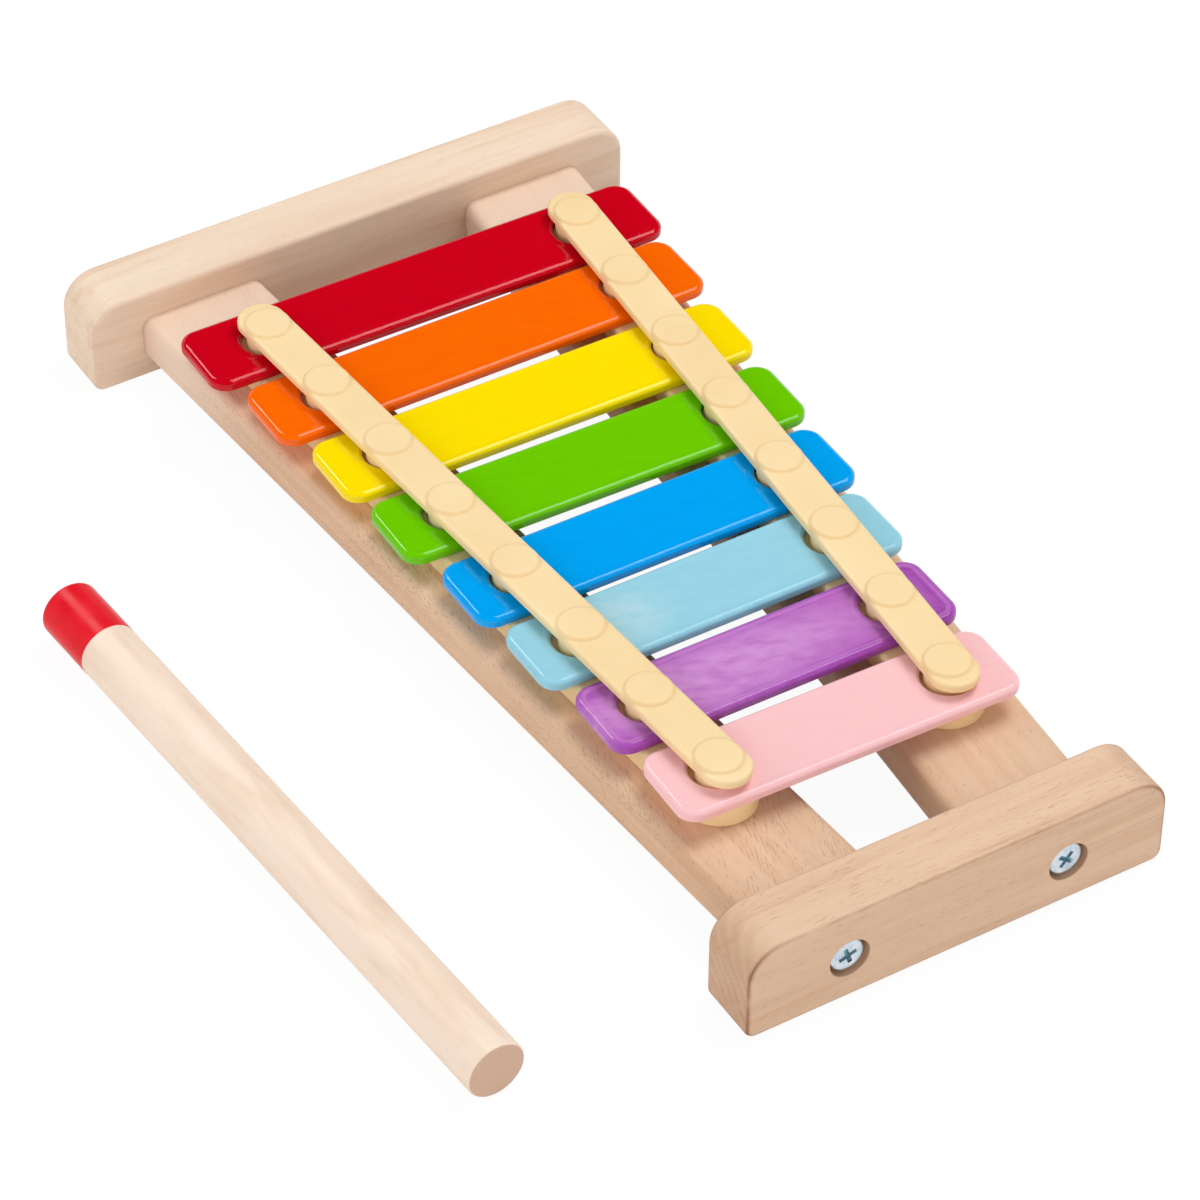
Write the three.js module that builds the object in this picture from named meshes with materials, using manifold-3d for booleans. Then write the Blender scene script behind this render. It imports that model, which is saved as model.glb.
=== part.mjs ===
// A toy xylophone. Eight painted steel bars lie loose across two beech rails, which run from a long
// end block to a short one. The posts of two plastic straps pass through the bars' holes and keep
// them in place, and two wider straps under the bars cushion them. A dowel beside it is the beater.
// Millimetres, +Z up, +X from the far block to the near block, +Y to the right as seen from the near
// block's side. The origin is the centre of the far block's sole.
import * as THREE from "three";
import { mergeVertices } from "three/addons/utils/BufferGeometryUtils.js";
import Module from "manifold-3d";

// Gap that is left between two pieces that touch.
const SEAT_GAP = 0.05;

// Bars, from the longest to the shortest.
const LONGEST_BAR = 136.4;
const BAR_WIDTH = 24;
const BAR_THICKNESS = 3;
const BAR_GAP = 4.55; // between the edges of two neighbours
const BAR_CORNER_RADIUS = 5.2;
const BAR_EDGE_EASE = 0.6;
const BAR_FLOAT = 1.9; // from a bar at rest to the strap above it
const HOLE_CLEARANCE = 1.2; // between a centred post and the wall of its hole

// End blocks: two planks on edge.
const BLOCK_THICKNESS = 18;
const BLOCK_RISE = 8.35; // from the rails' tops to the blocks' tops
const BLOCK_TOP_RADIUS = 9.7;
const BLOCK_SOLE_RADIUS = 3;
const BLOCK_EDGE_EASE = 0.9;
const FAR_BLOCK_OVERHANG = 14.85; // from a rail's outer side to the block's end
const NEAR_BLOCK_OVERHANG = 11.6;

// Rails: two battens that butt against the blocks.
const RAIL_WIDTH = 35.9; // across the instrument
const RAIL_HEIGHT = 13;
const RAIL_LIFT = 6.4; // from the floor to the rails' undersides
const RAIL_EDGE_RADIUS = 3;
const FAR_RAIL_GAP = 63.5; // between the rails at the far block
const NEAR_RAIL_GAP = 24.5; // between the rails at the near block
const FAR_MARGIN = 22.1; // of bare rail, from the far block to the first bar
const NEAR_MARGIN = 26.05; // of bare rail, from the last bar to the near block

// Cushion straps: between the rails and the bars.
const CUSHION_WIDTH = 19.5;
const CUSHION_THICKNESS = 6.4;
const CUSHION_EDGE_EASE = 0.8;
const CUSHION_END_OVERRUN = 0.5; // from the end post's axis to the centre of the round end

// Top straps, with the posts under them and the discs on them.
const STRAP_WIDTH = 13;
const STRAP_THICKNESS = 2.5;
const STRAP_EDGE_EASE = 0.6;
const STRAP_END_OVERRUN = 3; // from the end post's axis to the centre of the round end
const POST_INSET = 0.7; // from the strap's side to the post's
const DISC_INSET = 0.2; // from the strap's side to the disc's
const DISC_HEIGHT = 0.7; // above the strap
const DISC_EDGE_EASE = 0.5;

// Screws that hold the blocks to the rails.
const BLOCK_SCREW_DIAMETER = 5;
const BLOCK_SCREW_HEAD_DIAMETER = 9.4;
const BLOCK_SCREW_HEAD_HEIGHT = 2.9;
const BLOCK_SCREW_SUNK = 1.1; // from the block's face to the head
const BLOCK_SCREW_END_WOOD = 4.9; // from the tip to the nearest post's axis
const BLOCK_COUNTERBORE_CLEARANCE = 0.75;

// Screws that hold the straps to the rails, from below.
const STRAP_SCREW_DIAMETER = 3.5;
const STRAP_SCREW_HEAD_DIAMETER = 7.2;
const STRAP_SCREW_HEAD_HEIGHT = 2.3;
const STRAP_SCREW_SUNK = 1.4; // from the rail's underside to the head
const STRAP_SCREW_BITE = 4.8; // into the post
const STRAP_COUNTERBORE_CLEARANCE = 0.6;
const SCREWED_POSTS = [0, 2, 5, 7];

// What both kinds of screw share.
const SHANK_CLEARANCE = 0.2;
const TIP_LENGTH = 3;
const TIP_CLEARANCE = 0.6;
const HEAD_EDGE_EASE = 0.8;
const RECESS_SPAN = 5; // of the cross in the head
const RECESS_WIDTH = 1.2;
const RECESS_DEPTH = 1.7;

// Beater: it lies on the floor, left of the instrument.
const BEATER_DIAMETER = 16;
const BEATER_LENGTH = 194;
const BEATER_EDGE_EASE = 0.8;
const BEATER_ASIDE = 42.1; // from the far block's left end, sideways, to the dowel's middle
const BEATER_FORWARD = 186.7; // from the far block's middle to the dowel's middle
const BEATER_TURN_DEGREES = 3.8;

// Every cutter runs past the face that it opens by this much.
const CUT_OVERRUN = 1;

// Steps of an arc in an outline, each of them two segments, and segments of a turned piece.
const BLOCK_ARC_STEPS = 3;
const SMALL_ARC_STEPS = 2;
const ROUND_END_STEPS = 5;
const TURNED_STEPS = 20;
const SMALL_TURNED_STEPS = 12;
const BEATER_STEPS = 32;

const BAR_COLOURS = [
  ["red", 0xc8001c],
  ["orange", 0xff6b00],
  ["yellow", 0xffe100],
  ["green", 0x5fb50f],
  ["blue", 0x0093e0],
  ["light_blue", 0x8fcadb],
  ["purple", 0xa34fb8],
  ["pink", 0xffb3bd],
];

// Pitch of each bar's note, as a share of the longest bar's: a major scale from C to C. The length
// of a bar goes with one over the root of its pitch.
const PITCH_SHARES = [1, 9 / 8, 5 / 4, 4 / 3, 3 / 2, 5 / 3, 15 / 8, 2];

// Where each loose bar has come to lie: forward, to the right and turned, each as a share of the
// hole's clearance, a turn being measured at the posts.
const BAR_PLAY_SHARES = [
  [0.4, -0.3, -0.4],
  [-0.3, 0.15, 0.1],
  [-0.15, 0.5, -0.25],
  [0, 0.05, -0.55],
  [0.3, 0.4, 0.05],
  [-0.55, -0.2, 0.2],
  [-0.7, -0.15, 0],
  [-0.45, 0.1, -0.4],
];

// Heights of what is stacked on the rails.
const RAIL_TOP = RAIL_LIFT + RAIL_HEIGHT;
const BLOCK_HEIGHT = RAIL_TOP + BLOCK_RISE;
const CUSHION_LOW = RAIL_TOP + SEAT_GAP;
const CUSHION_TOP = CUSHION_LOW + CUSHION_THICKNESS;
const BAR_LOW = CUSHION_TOP + SEAT_GAP;
const BAR_TOP = BAR_LOW + BAR_THICKNESS;
const STRAP_LOW = BAR_TOP + BAR_FLOAT;
const STRAP_TOP = STRAP_LOW + STRAP_THICKNESS;
const STRAP_MIDDLE = (STRAP_LOW + STRAP_TOP) / 2;

// Places along the instrument.
const LAST_BAR = BAR_COLOURS.length - 1;
const BAR_SPACING = BAR_WIDTH + BAR_GAP;
const RAIL_START = BLOCK_THICKNESS / 2;
const barX = (index) => RAIL_START + FAR_MARGIN + BAR_WIDTH / 2 + index * BAR_SPACING;
const RAIL_END = barX(LAST_BAR) + BAR_WIDTH / 2 + NEAR_MARGIN;
const NEAR_BLOCK_X = RAIL_END + BLOCK_THICKNESS / 2;

// Places across it: the distance of the rails' centre lines from the middle.
const FAR_RAIL_Y = (FAR_RAIL_GAP + RAIL_WIDTH) / 2;
const NEAR_RAIL_Y = (NEAR_RAIL_GAP + RAIL_WIDTH) / 2;
const RAIL_SLOPE = (NEAR_RAIL_Y - FAR_RAIL_Y) / (RAIL_END - RAIL_START);
const RAIL_TURN = Math.atan(RAIL_SLOPE);
const railY = (x) => FAR_RAIL_Y + RAIL_SLOPE * (x - RAIL_START);
const POST_SPACING = BAR_SPACING / Math.cos(RAIL_TURN);
const FAR_BLOCK_LENGTH = 2 * (FAR_RAIL_Y + RAIL_WIDTH / 2 + FAR_BLOCK_OVERHANG);
const NEAR_BLOCK_LENGTH = 2 * (NEAR_RAIL_Y + RAIL_WIDTH / 2 + NEAR_BLOCK_OVERHANG);

// Sizes that follow from the fits.
const POST_RADIUS = STRAP_WIDTH / 2 - POST_INSET;
const DISC_RADIUS = STRAP_WIDTH / 2 - DISC_INSET;
const HOLE_RADIUS = POST_RADIUS + HOLE_CLEARANCE;
const SHORTER_END = Math.min(FAR_MARGIN, NEAR_MARGIN) + BAR_WIDTH / 2;
const BLOCK_SCREW_BITE = SHORTER_END - BLOCK_SCREW_END_WOOD;
const BLOCK_SCREW_Z = (RAIL_LIFT + RAIL_TOP) / 2;
const BLOCK_COUNTERBORE_DEPTH = BLOCK_SCREW_SUNK + BLOCK_SCREW_HEAD_HEIGHT;
const STRAP_SCREW_SEAT = RAIL_LIFT + STRAP_SCREW_SUNK + STRAP_SCREW_HEAD_HEIGHT;
const STRAP_SCREW_LENGTH = BAR_LOW + STRAP_SCREW_BITE - STRAP_SCREW_SEAT;

const SIDES = [
  ["left", -1],
  ["right", 1],
];

const wasm = await Module();
wasm.setup();

// A closed geometry as a solid that can be joined and cut.
function solid(geometry) {
  const bare = new THREE.BufferGeometry();
  bare.setAttribute("position", geometry.getAttribute("position"));
  bare.setIndex(geometry.getIndex());
  const merged = mergeVertices(bare);
  const corners = merged.getIndex().array;
  const kept = [];
  for (let i = 0; i < corners.length; i += 3) {
    const [a, b, c] = corners.slice(i, i + 3);
    if (a !== b && b !== c && c !== a) kept.push(a, b, c);
  }
  const vertProperties = merged.getAttribute("position").array;
  const triVerts = new Uint32Array(kept);
  return new wasm.Manifold(new wasm.Mesh({ numProp: 3, vertProperties, triVerts }));
}

// A solid as a geometry again.
function surface(body) {
  const { vertProperties, triVerts } = body.getMesh();
  const geometry = new THREE.BufferGeometry();
  geometry.setAttribute("position", new THREE.BufferAttribute(vertProperties, 3));
  geometry.setIndex(new THREE.BufferAttribute(triVerts, 1));
  geometry.computeVertexNormals();
  return geometry;
}

const joined = (geometries) => geometries.map(solid).reduce((whole, next) => whole.add(next));
const cut = (body, cutters) => cutters.map(solid).reduce((left, next) => left.subtract(next), body);

// An outline drawn in X and Y, raised from one height to another, with its edges eased.
function raised(outline, low, high, ease, curveSegments) {
  const geometry = new THREE.ExtrudeGeometry(outline, {
    depth: high - low - 2 * ease,
    bevelEnabled: ease > 0,
    bevelThickness: ease,
    bevelSize: ease,
    bevelOffset: -ease,
    bevelSegments: 1,
    curveSegments,
  });
  return geometry.translate(0, 0, low + ease);
}

// An outline drawn across the instrument, Y to the side and Z up, and run along X.
const ACROSS = new THREE.Matrix4().makeBasis(
  new THREE.Vector3(0, 1, 0),
  new THREE.Vector3(0, 0, 1),
  new THREE.Vector3(1, 0, 0),
);

// A four-sided outline with its own radius at each corner, from the lower left one round.
function roundedBox(left, low, right, high, lowRadius, highRadius) {
  const outline = new THREE.Shape();
  outline.absarc(left + lowRadius, low + lowRadius, lowRadius, Math.PI, 1.5 * Math.PI);
  outline.absarc(right - lowRadius, low + lowRadius, lowRadius, 1.5 * Math.PI, 2 * Math.PI);
  outline.absarc(right - highRadius, high - highRadius, highRadius, 0, 0.5 * Math.PI);
  outline.absarc(left + highRadius, high - highRadius, highRadius, 0.5 * Math.PI, Math.PI);
  return outline;
}

// A strip's outline with two half-round ends, about the X axis.
function strip(start, end, radius) {
  const outline = new THREE.Shape();
  outline.absarc(start, 0, radius, 0.5 * Math.PI, 1.5 * Math.PI);
  outline.absarc(end, 0, radius, 1.5 * Math.PI, 2.5 * Math.PI);
  return outline;
}

// A round hole in an outline, as four quarter arcs.
function roundHole(x, y, radius) {
  const hole = new THREE.Path();
  for (const quarter of [0, 1, 2, 3]) {
    const start = (quarter * Math.PI) / 2;
    hole.absarc(x, y, radius, start, start + Math.PI / 2);
  }
  return hole;
}

// A round cutter or post, upright, from one height to another.
function upright(x, y, low, high, radius, steps) {
  const geometry = new THREE.CylinderGeometry(radius, radius, high - low, steps);
  return geometry.rotateX(Math.PI / 2).translate(x, y, (low + high) / 2);
}

// The same, lying along X.
function lying(y, z, start, end, radius, steps) {
  const geometry = new THREE.CylinderGeometry(radius, radius, end - start, steps);
  return geometry.rotateZ(-Math.PI / 2).translate((start + end) / 2, y, z);
}

const inOrder = (a, b) => [Math.min(a, b), Math.max(a, b)];

// End block, with a counterbore in its outer face and a hole through it for each screw.
function endBlock(length, middle, outward, screwY) {
  const half = length / 2;
  const outline = roundedBox(-half, 0, half, BLOCK_HEIGHT, BLOCK_SOLE_RADIUS, BLOCK_TOP_RADIUS);
  const plank = raised(outline, 0, BLOCK_THICKNESS, BLOCK_EDGE_EASE, BLOCK_ARC_STEPS)
    .applyMatrix4(ACROSS)
    .translate(middle - BLOCK_THICKNESS / 2, 0, 0);
  const face = middle + (outward * BLOCK_THICKNESS) / 2;
  const seat = face - outward * BLOCK_COUNTERBORE_DEPTH;
  const headRoom = BLOCK_SCREW_HEAD_DIAMETER / 2 + BLOCK_COUNTERBORE_CLEARANCE;
  const shankRoom = BLOCK_SCREW_DIAMETER / 2 + SHANK_CLEARANCE;
  const inside = face - outward * (BLOCK_THICKNESS + CUT_OVERRUN);
  const outside = face + outward * CUT_OVERRUN;
  const cutters = SIDES.flatMap(([, side]) => [
    lying(side * screwY, BLOCK_SCREW_Z, ...inOrder(seat, outside), headRoom, TURNED_STEPS),
    lying(side * screwY, BLOCK_SCREW_Z, ...inOrder(inside, outside), shankRoom, SMALL_TURNED_STEPS),
  ]);
  return surface(cut(solid(plank), cutters));
}

// The block screws run along X and enter a rail's end on its centre line at half their bite.
const farScrewY = railY(RAIL_START + BLOCK_SCREW_BITE / 2);
const nearScrewY = railY(RAIL_END - BLOCK_SCREW_BITE / 2);

// Rail: its section is carried along X and drawn sideways, so its ends stay flat on the blocks.
function rail(side) {
  const half = RAIL_WIDTH / 2;
  const radius = RAIL_EDGE_RADIUS;
  const section = roundedBox(-half, RAIL_LIFT, half, RAIL_TOP, radius, radius);
  const batten = raised(section, RAIL_START + SEAT_GAP, RAIL_END - SEAT_GAP, 0, SMALL_ARC_STEPS)
    .applyMatrix4(ACROSS)
    .applyMatrix4(new THREE.Matrix4().makeShear(side * RAIL_SLOPE, 0, 0, 0, 0, 0))
    .translate(0, side * railY(0), 0);
  const shankRoom = BLOCK_SCREW_DIAMETER / 2 + SHANK_CLEARANCE;
  const depth = BLOCK_SCREW_BITE + TIP_CLEARANCE;
  const farEnd = [RAIL_START - CUT_OVERRUN, RAIL_START + depth];
  const nearEnd = [RAIL_END - depth, RAIL_END + CUT_OVERRUN];
  const cutters = [
    lying(side * farScrewY, BLOCK_SCREW_Z, ...farEnd, shankRoom, SMALL_TURNED_STEPS),
    lying(side * nearScrewY, BLOCK_SCREW_Z, ...nearEnd, shankRoom, SMALL_TURNED_STEPS),
  ];
  const headRoom = STRAP_SCREW_HEAD_DIAMETER / 2 + STRAP_COUNTERBORE_CLEARANCE;
  const strapShankRoom = STRAP_SCREW_DIAMETER / 2 + SHANK_CLEARANCE;
  const below = RAIL_LIFT - CUT_OVERRUN;
  for (const post of SCREWED_POSTS) {
    const place = [barX(post), side * railY(barX(post))];
    cutters.push(upright(...place, below, STRAP_SCREW_SEAT, headRoom, SMALL_TURNED_STEPS));
    cutters.push(upright(...place, below, RAIL_TOP + CUT_OVERRUN, strapShankRoom, SMALL_TURNED_STEPS));
  }
  return surface(cut(solid(batten), cutters));
}

// Cushion strap, along the X axis from its first post, with a hole for each screw.
function cushionStrap() {
  const end = LAST_BAR * POST_SPACING + CUSHION_END_OVERRUN;
  const outline = strip(-CUSHION_END_OVERRUN, end, CUSHION_WIDTH / 2);
  const body = raised(outline, CUSHION_LOW, CUSHION_TOP, CUSHION_EDGE_EASE, ROUND_END_STEPS);
  const radius = STRAP_SCREW_DIAMETER / 2 + SHANK_CLEARANCE;
  const low = CUSHION_LOW - CUT_OVERRUN;
  const high = CUSHION_TOP + CUT_OVERRUN;
  const cutters = SCREWED_POSTS.map((post) =>
    upright(post * POST_SPACING, 0, low, high, radius, SMALL_TURNED_STEPS),
  );
  return surface(cut(solid(body), cutters));
}

// Disc over a post: a low button with an eased edge, which starts inside the strap.
function disc(x) {
  const top = STRAP_TOP + DISC_HEIGHT;
  const profile = [
    new THREE.Vector2(0, STRAP_MIDDLE),
    new THREE.Vector2(DISC_RADIUS, STRAP_MIDDLE),
    new THREE.Vector2(DISC_RADIUS, top - DISC_EDGE_EASE),
    new THREE.Vector2(DISC_RADIUS - DISC_EDGE_EASE, top),
    new THREE.Vector2(0, top),
  ];
  return new THREE.LatheGeometry(profile, TURNED_STEPS).rotateX(Math.PI / 2).translate(x, 0, 0);
}

// Top strap, along the X axis from its first post, with pilot holes in the posts that take a screw.
function topStrap() {
  const end = LAST_BAR * POST_SPACING + STRAP_END_OVERRUN;
  const outline = strip(-STRAP_END_OVERRUN, end, STRAP_WIDTH / 2);
  const pieces = [raised(outline, STRAP_LOW, STRAP_TOP, STRAP_EDGE_EASE, ROUND_END_STEPS)];
  BAR_COLOURS.forEach((_, post) => {
    const x = post * POST_SPACING;
    pieces.push(disc(x));
    pieces.push(upright(x, 0, BAR_LOW, STRAP_MIDDLE, POST_RADIUS, TURNED_STEPS));
  });
  const pilotTop = BAR_LOW + STRAP_SCREW_BITE + TIP_CLEARANCE;
  const radius = STRAP_SCREW_DIAMETER / 2 + SHANK_CLEARANCE;
  const cutters = SCREWED_POSTS.map((post) =>
    upright(post * POST_SPACING, 0, BAR_LOW - CUT_OVERRUN, pilotTop, radius, SMALL_TURNED_STEPS),
  );
  return surface(cut(joined(pieces), cutters));
}

// Bar, centred on the origin in plan, tuned by its length, with a hole for each of its posts.
function bar(index) {
  const postY = railY(barX(index));
  const half = LONGEST_BAR / Math.sqrt(PITCH_SHARES[index]) / 2;
  const side = BAR_WIDTH / 2;
  const radius = BAR_CORNER_RADIUS;
  const outline = roundedBox(-side, -half, side, half, radius, radius);
  outline.holes.push(roundHole(0, -postY, HOLE_RADIUS));
  outline.holes.push(roundHole(0, postY, HOLE_RADIUS));
  return raised(outline, BAR_LOW, BAR_TOP, BAR_EDGE_EASE, SMALL_ARC_STEPS);
}

// Pan-head screw along Y: its head stands on the origin and its tip points down.
function screw(diameter, length, headDiameter, headHeight, steps) {
  const radius = diameter / 2;
  const headRadius = headDiameter / 2;
  const profile = [
    new THREE.Vector2(0, -length),
    new THREE.Vector2(radius, TIP_LENGTH - length),
    new THREE.Vector2(radius, 0),
    new THREE.Vector2(headRadius, 0),
    new THREE.Vector2(headRadius, headHeight - HEAD_EDGE_EASE),
    new THREE.Vector2(headRadius - HEAD_EDGE_EASE, headHeight),
    new THREE.Vector2(0, headHeight),
  ];
  return new THREE.LatheGeometry(profile, steps);
}

// Block screw: the same, with a cross recess in its head.
function blockScrew() {
  const length = BLOCK_THICKNESS - BLOCK_COUNTERBORE_DEPTH + SEAT_GAP + BLOCK_SCREW_BITE;
  const head = [BLOCK_SCREW_HEAD_DIAMETER, BLOCK_SCREW_HEAD_HEIGHT];
  const body = screw(BLOCK_SCREW_DIAMETER, length, ...head, TURNED_STEPS);
  const wing = new THREE.BoxGeometry(RECESS_SPAN, 2 * RECESS_DEPTH, RECESS_WIDTH);
  wing.translate(0, BLOCK_SCREW_HEAD_HEIGHT, 0);
  const other = wing.clone().rotateY(Math.PI / 2);
  return cut(solid(body), [wing, other]);
}

function strapScrew() {
  const head = [STRAP_SCREW_HEAD_DIAMETER, STRAP_SCREW_HEAD_HEIGHT];
  return screw(STRAP_SCREW_DIAMETER, STRAP_SCREW_LENGTH, ...head, SMALL_TURNED_STEPS);
}

// Beater: a dowel along X with eased ends.
function beater() {
  const radius = BEATER_DIAMETER / 2;
  const half = BEATER_LENGTH / 2;
  const profile = [
    new THREE.Vector2(0, -half),
    new THREE.Vector2(radius - BEATER_EDGE_EASE, -half),
    new THREE.Vector2(radius, BEATER_EDGE_EASE - half),
    new THREE.Vector2(radius, half - BEATER_EDGE_EASE),
    new THREE.Vector2(radius - BEATER_EDGE_EASE, half),
    new THREE.Vector2(0, half),
  ];
  return new THREE.LatheGeometry(profile, BEATER_STEPS).rotateZ(-Math.PI / 2);
}

const beech = () => new THREE.MeshStandardMaterial({ color: 0xe6cba8, roughness: 0.6 });
const cream = () => new THREE.MeshStandardMaterial({ color: 0xf5dca6, roughness: 0.45 });
const zinc = () => new THREE.MeshStandardMaterial({ color: 0xb9c3cc, roughness: 0.3, metalness: 1 });
const paint = (color) => new THREE.MeshStandardMaterial({ color, roughness: 0.2 });

const xylophone = new THREE.Group();

function add(name, geometry, material, parent = xylophone) {
  const mesh = new THREE.Mesh(geometry, material);
  mesh.name = name;
  parent.add(mesh);
  return mesh;
}

// Frame.
add("far_end_block", endBlock(FAR_BLOCK_LENGTH, 0, -1, farScrewY), beech());
add("near_end_block", endBlock(NEAR_BLOCK_LENGTH, NEAR_BLOCK_X, 1, nearScrewY), beech());
for (const [name, side] of SIDES) {
  add(`${name}_rail`, rail(side), beech());
}

// Block screws: a head stands on the floor of its counterbore.
for (const [name, side] of SIDES) {
  const sink = BLOCK_COUNTERBORE_DEPTH - SEAT_GAP - BLOCK_THICKNESS / 2;
  const far = add(`far_block_${name}_screw`, surface(blockScrew()), zinc());
  far.rotation.z = Math.PI / 2;
  far.position.set(sink, side * farScrewY, BLOCK_SCREW_Z);
  const near = add(`near_block_${name}_screw`, surface(blockScrew()), zinc());
  near.rotation.z = -Math.PI / 2;
  near.position.set(NEAR_BLOCK_X - sink, side * nearScrewY, BLOCK_SCREW_Z);
}

// Straps, turned to lie along their rail, and the screws that come up into them.
for (const [name, side] of SIDES) {
  const along = new THREE.Group();
  along.position.set(barX(0), side * railY(barX(0)), 0);
  along.rotation.z = side * RAIL_TURN;
  xylophone.add(along);
  add(`${name}_cushion_strap`, cushionStrap(), cream(), along);
  add(`${name}_top_strap`, topStrap(), cream(), along);
  SCREWED_POSTS.forEach((post, count) => {
    const x = barX(post);
    const fixing = add(`${name}_strap_screw_${count + 1}`, strapScrew(), zinc());
    fixing.rotation.x = -Math.PI / 2;
    fixing.position.set(x, side * railY(x), STRAP_SCREW_SEAT - SEAT_GAP);
  });
}

// Bars, each a little out of place within its play.
BAR_COLOURS.forEach(([name, color], index) => {
  const plate = add(`${name}_bar`, bar(index), paint(color));
  const [forwardShare, rightShare, turnShare] = BAR_PLAY_SHARES[index];
  const forward = barX(index) + forwardShare * HOLE_CLEARANCE;
  plate.position.set(forward, rightShare * HOLE_CLEARANCE, 0);
  plate.rotation.z = Math.atan((turnShare * HOLE_CLEARANCE) / railY(barX(index)));
});

const stick = add("beater", beater(), beech());
const beaterY = -FAR_BLOCK_LENGTH / 2 - BEATER_ASIDE;
stick.position.set(BEATER_FORWARD, beaterY, BEATER_DIAMETER / 2);
stick.rotation.z = THREE.MathUtils.degToRad(BEATER_TURN_DEGREES);

export default xylophone;
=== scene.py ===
import math

import bmesh
import bpy
from mathutils import Matrix, Vector


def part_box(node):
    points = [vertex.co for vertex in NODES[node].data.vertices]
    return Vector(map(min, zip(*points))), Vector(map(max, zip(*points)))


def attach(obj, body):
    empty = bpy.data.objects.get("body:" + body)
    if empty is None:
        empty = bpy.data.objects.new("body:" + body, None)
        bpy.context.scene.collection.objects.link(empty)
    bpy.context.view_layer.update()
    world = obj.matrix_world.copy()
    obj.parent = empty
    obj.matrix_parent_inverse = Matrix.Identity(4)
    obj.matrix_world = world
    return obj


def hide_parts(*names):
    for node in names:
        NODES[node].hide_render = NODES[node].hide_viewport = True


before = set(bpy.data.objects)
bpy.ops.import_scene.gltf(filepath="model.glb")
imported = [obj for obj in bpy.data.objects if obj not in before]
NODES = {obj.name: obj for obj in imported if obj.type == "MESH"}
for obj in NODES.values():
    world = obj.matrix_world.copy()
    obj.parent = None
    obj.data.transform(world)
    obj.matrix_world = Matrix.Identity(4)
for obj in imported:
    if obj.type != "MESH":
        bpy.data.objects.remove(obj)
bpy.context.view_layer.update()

MM = 0.001
QUARTER = math.pi / 2
BODY = "frame"
COLOURS = ["red", "orange", "yellow", "green", "blue", "light_blue", "purple", "pink"]
SIDES = ["left", "right"]
ENDS = ["far", "near"]
STRAP_SCREWS = range(1, 5)  # the numbers of the strap screws under each rail
SAME_LEVEL = 0.1 * MM  # corners closer than this in height are level
SAME_END = MM  # corners closer than this along X are at the same end
DOUBLES = 0.001 * MM  # points closer than this are one

# Bars.
BAR_CORNER = 5.2 * MM
BAR_TOP_ROUND = 1.15 * MM
BAR_LOW_ROUND = 0.5 * MM
HOLE_ROUND = 0.8 * MM
HOLE_RADIUS = 7 * MM
HOLE_STEPS = 56
PAINT_BEAD = 0.16 * MM  # the paint stands this much higher along the edges
PAINT_BEAD_WIDTH = 1.7 * MM
PAINT_BEAD_STEPS = 6
BEAD_HIGHLIGHT_INSET = 2 * MM  # from an edge to the middle of the painted highlight on the slope of its bead
BEAD_HIGHLIGHT_REACH = 0.8 * MM  # half width of that painted highlight

# End blocks and rails.
BLOCK_TOP_CORNER = 9.7 * MM
BLOCK_LOW_CORNER = 3 * MM
BLOCK_EDGE_ROUND = 1.4 * MM
END_BURNISH = {"far": 0.3, "near": 1}  # how brown the sanded edges are at a block's ends
TOP_BURNISH = {"far": 0.12, "near": 0.42}  # and along its length
COUNTERBORE_RADIUS = 5.45 * MM
COUNTERBORE_DEPTH = 4 * MM
COUNTERBORE_MOUTH = 0.35 * MM  # width of the worn edge round its mouth
COUNTERBORE_STEPS = 64
RAIL_ROUND = 3 * MM
SCREW_HOLE_RADIUS = 2.7 * MM
STRAP_COUNTERBORE_RADIUS = 4.2 * MM
STRAP_SCREW_HOLE_RADIUS = 1.95 * MM

# Straps.
STRAP_THICKNESS = 2.5 * MM
STRAP_TOP_ROUND = 0.95 * MM
STRAP_LOW_ROUND = 0.5 * MM
DISC_RADIUS = 6.3 * MM
DISC_HEIGHT = 0.7 * MM
DISC_CROWN_SHARE = 0.04  # how much lower a disc is at its rim than in its middle
DISC_SLOPE = 0.9 * MM  # width of a disc's rolled rim
DISC_ROLL = 0.75  # how full the rolled rim is, less being fuller
DISC_FOOT_SHADE_REACH = 0.8 * MM  # half width of the painted shade along the foot of a disc
STRAP_FINE = 0.2 * MM  # stretches of a strap's sides beside a disc
STRAP_COARSE = 1.2 * MM  # and between two discs
STRAP_RINGS = 28  # from the rounded edge to the strap's middle line
STRAP_END_STEPS = 72  # of each round end
POST_RADIUS = 5.8 * MM
POST_LOW_ROUND = 0.4 * MM
POST_FILLET = 0.35 * MM
POST_ROOT = 0.3 * MM  # how far a post runs up into its strap
POST_STEPS = 40
POST_ROUND_STEPS = 4  # of the quarter circles at its root and its foot
CUSHION_ROUND = 1.3 * MM

# Screws.
BLOCK_HEAD_HEIGHT = 2.9 * MM
STRAP_HEAD_HEIGHT = 2.3 * MM
HEAD_TURNS = {"left": math.radians(18), "right": math.radians(52)}
STRAP_HEAD_TURN = 0.7  # radians from one strap screw's cross to the next
BLOCK_SCREW = {
    "Head Radius": 4.7 * MM,
    "Head Height": 2.88 * MM,
    "Shank Radius": 2.2 * MM,
    "Thread Depth": 0.25 * MM,
    "Thread Pitch": 2 * MM,
    "Recess Span": 6 * MM,
    "Recess Width": 1.5 * MM,
    "Recess Depth": 1.3 * MM,
}
STRAP_SCREW = {
    "Head Radius": 3.55 * MM,
    "Head Height": 2.2 * MM,
    "Shank Radius": 1.5 * MM,
    "Thread Depth": 0.2 * MM,
    "Thread Pitch": 1.4 * MM,
    "Recess Span": 3.8 * MM,
    "Recess Width": 1 * MM,
    "Recess Depth": 1.4 * MM,
}
HEAD_ROLL = 26.0  # how late the top of a head rolls over to its rim
HEAD_DROP_SHARE = 0.1  # how much lower the rim is than the middle
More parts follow.
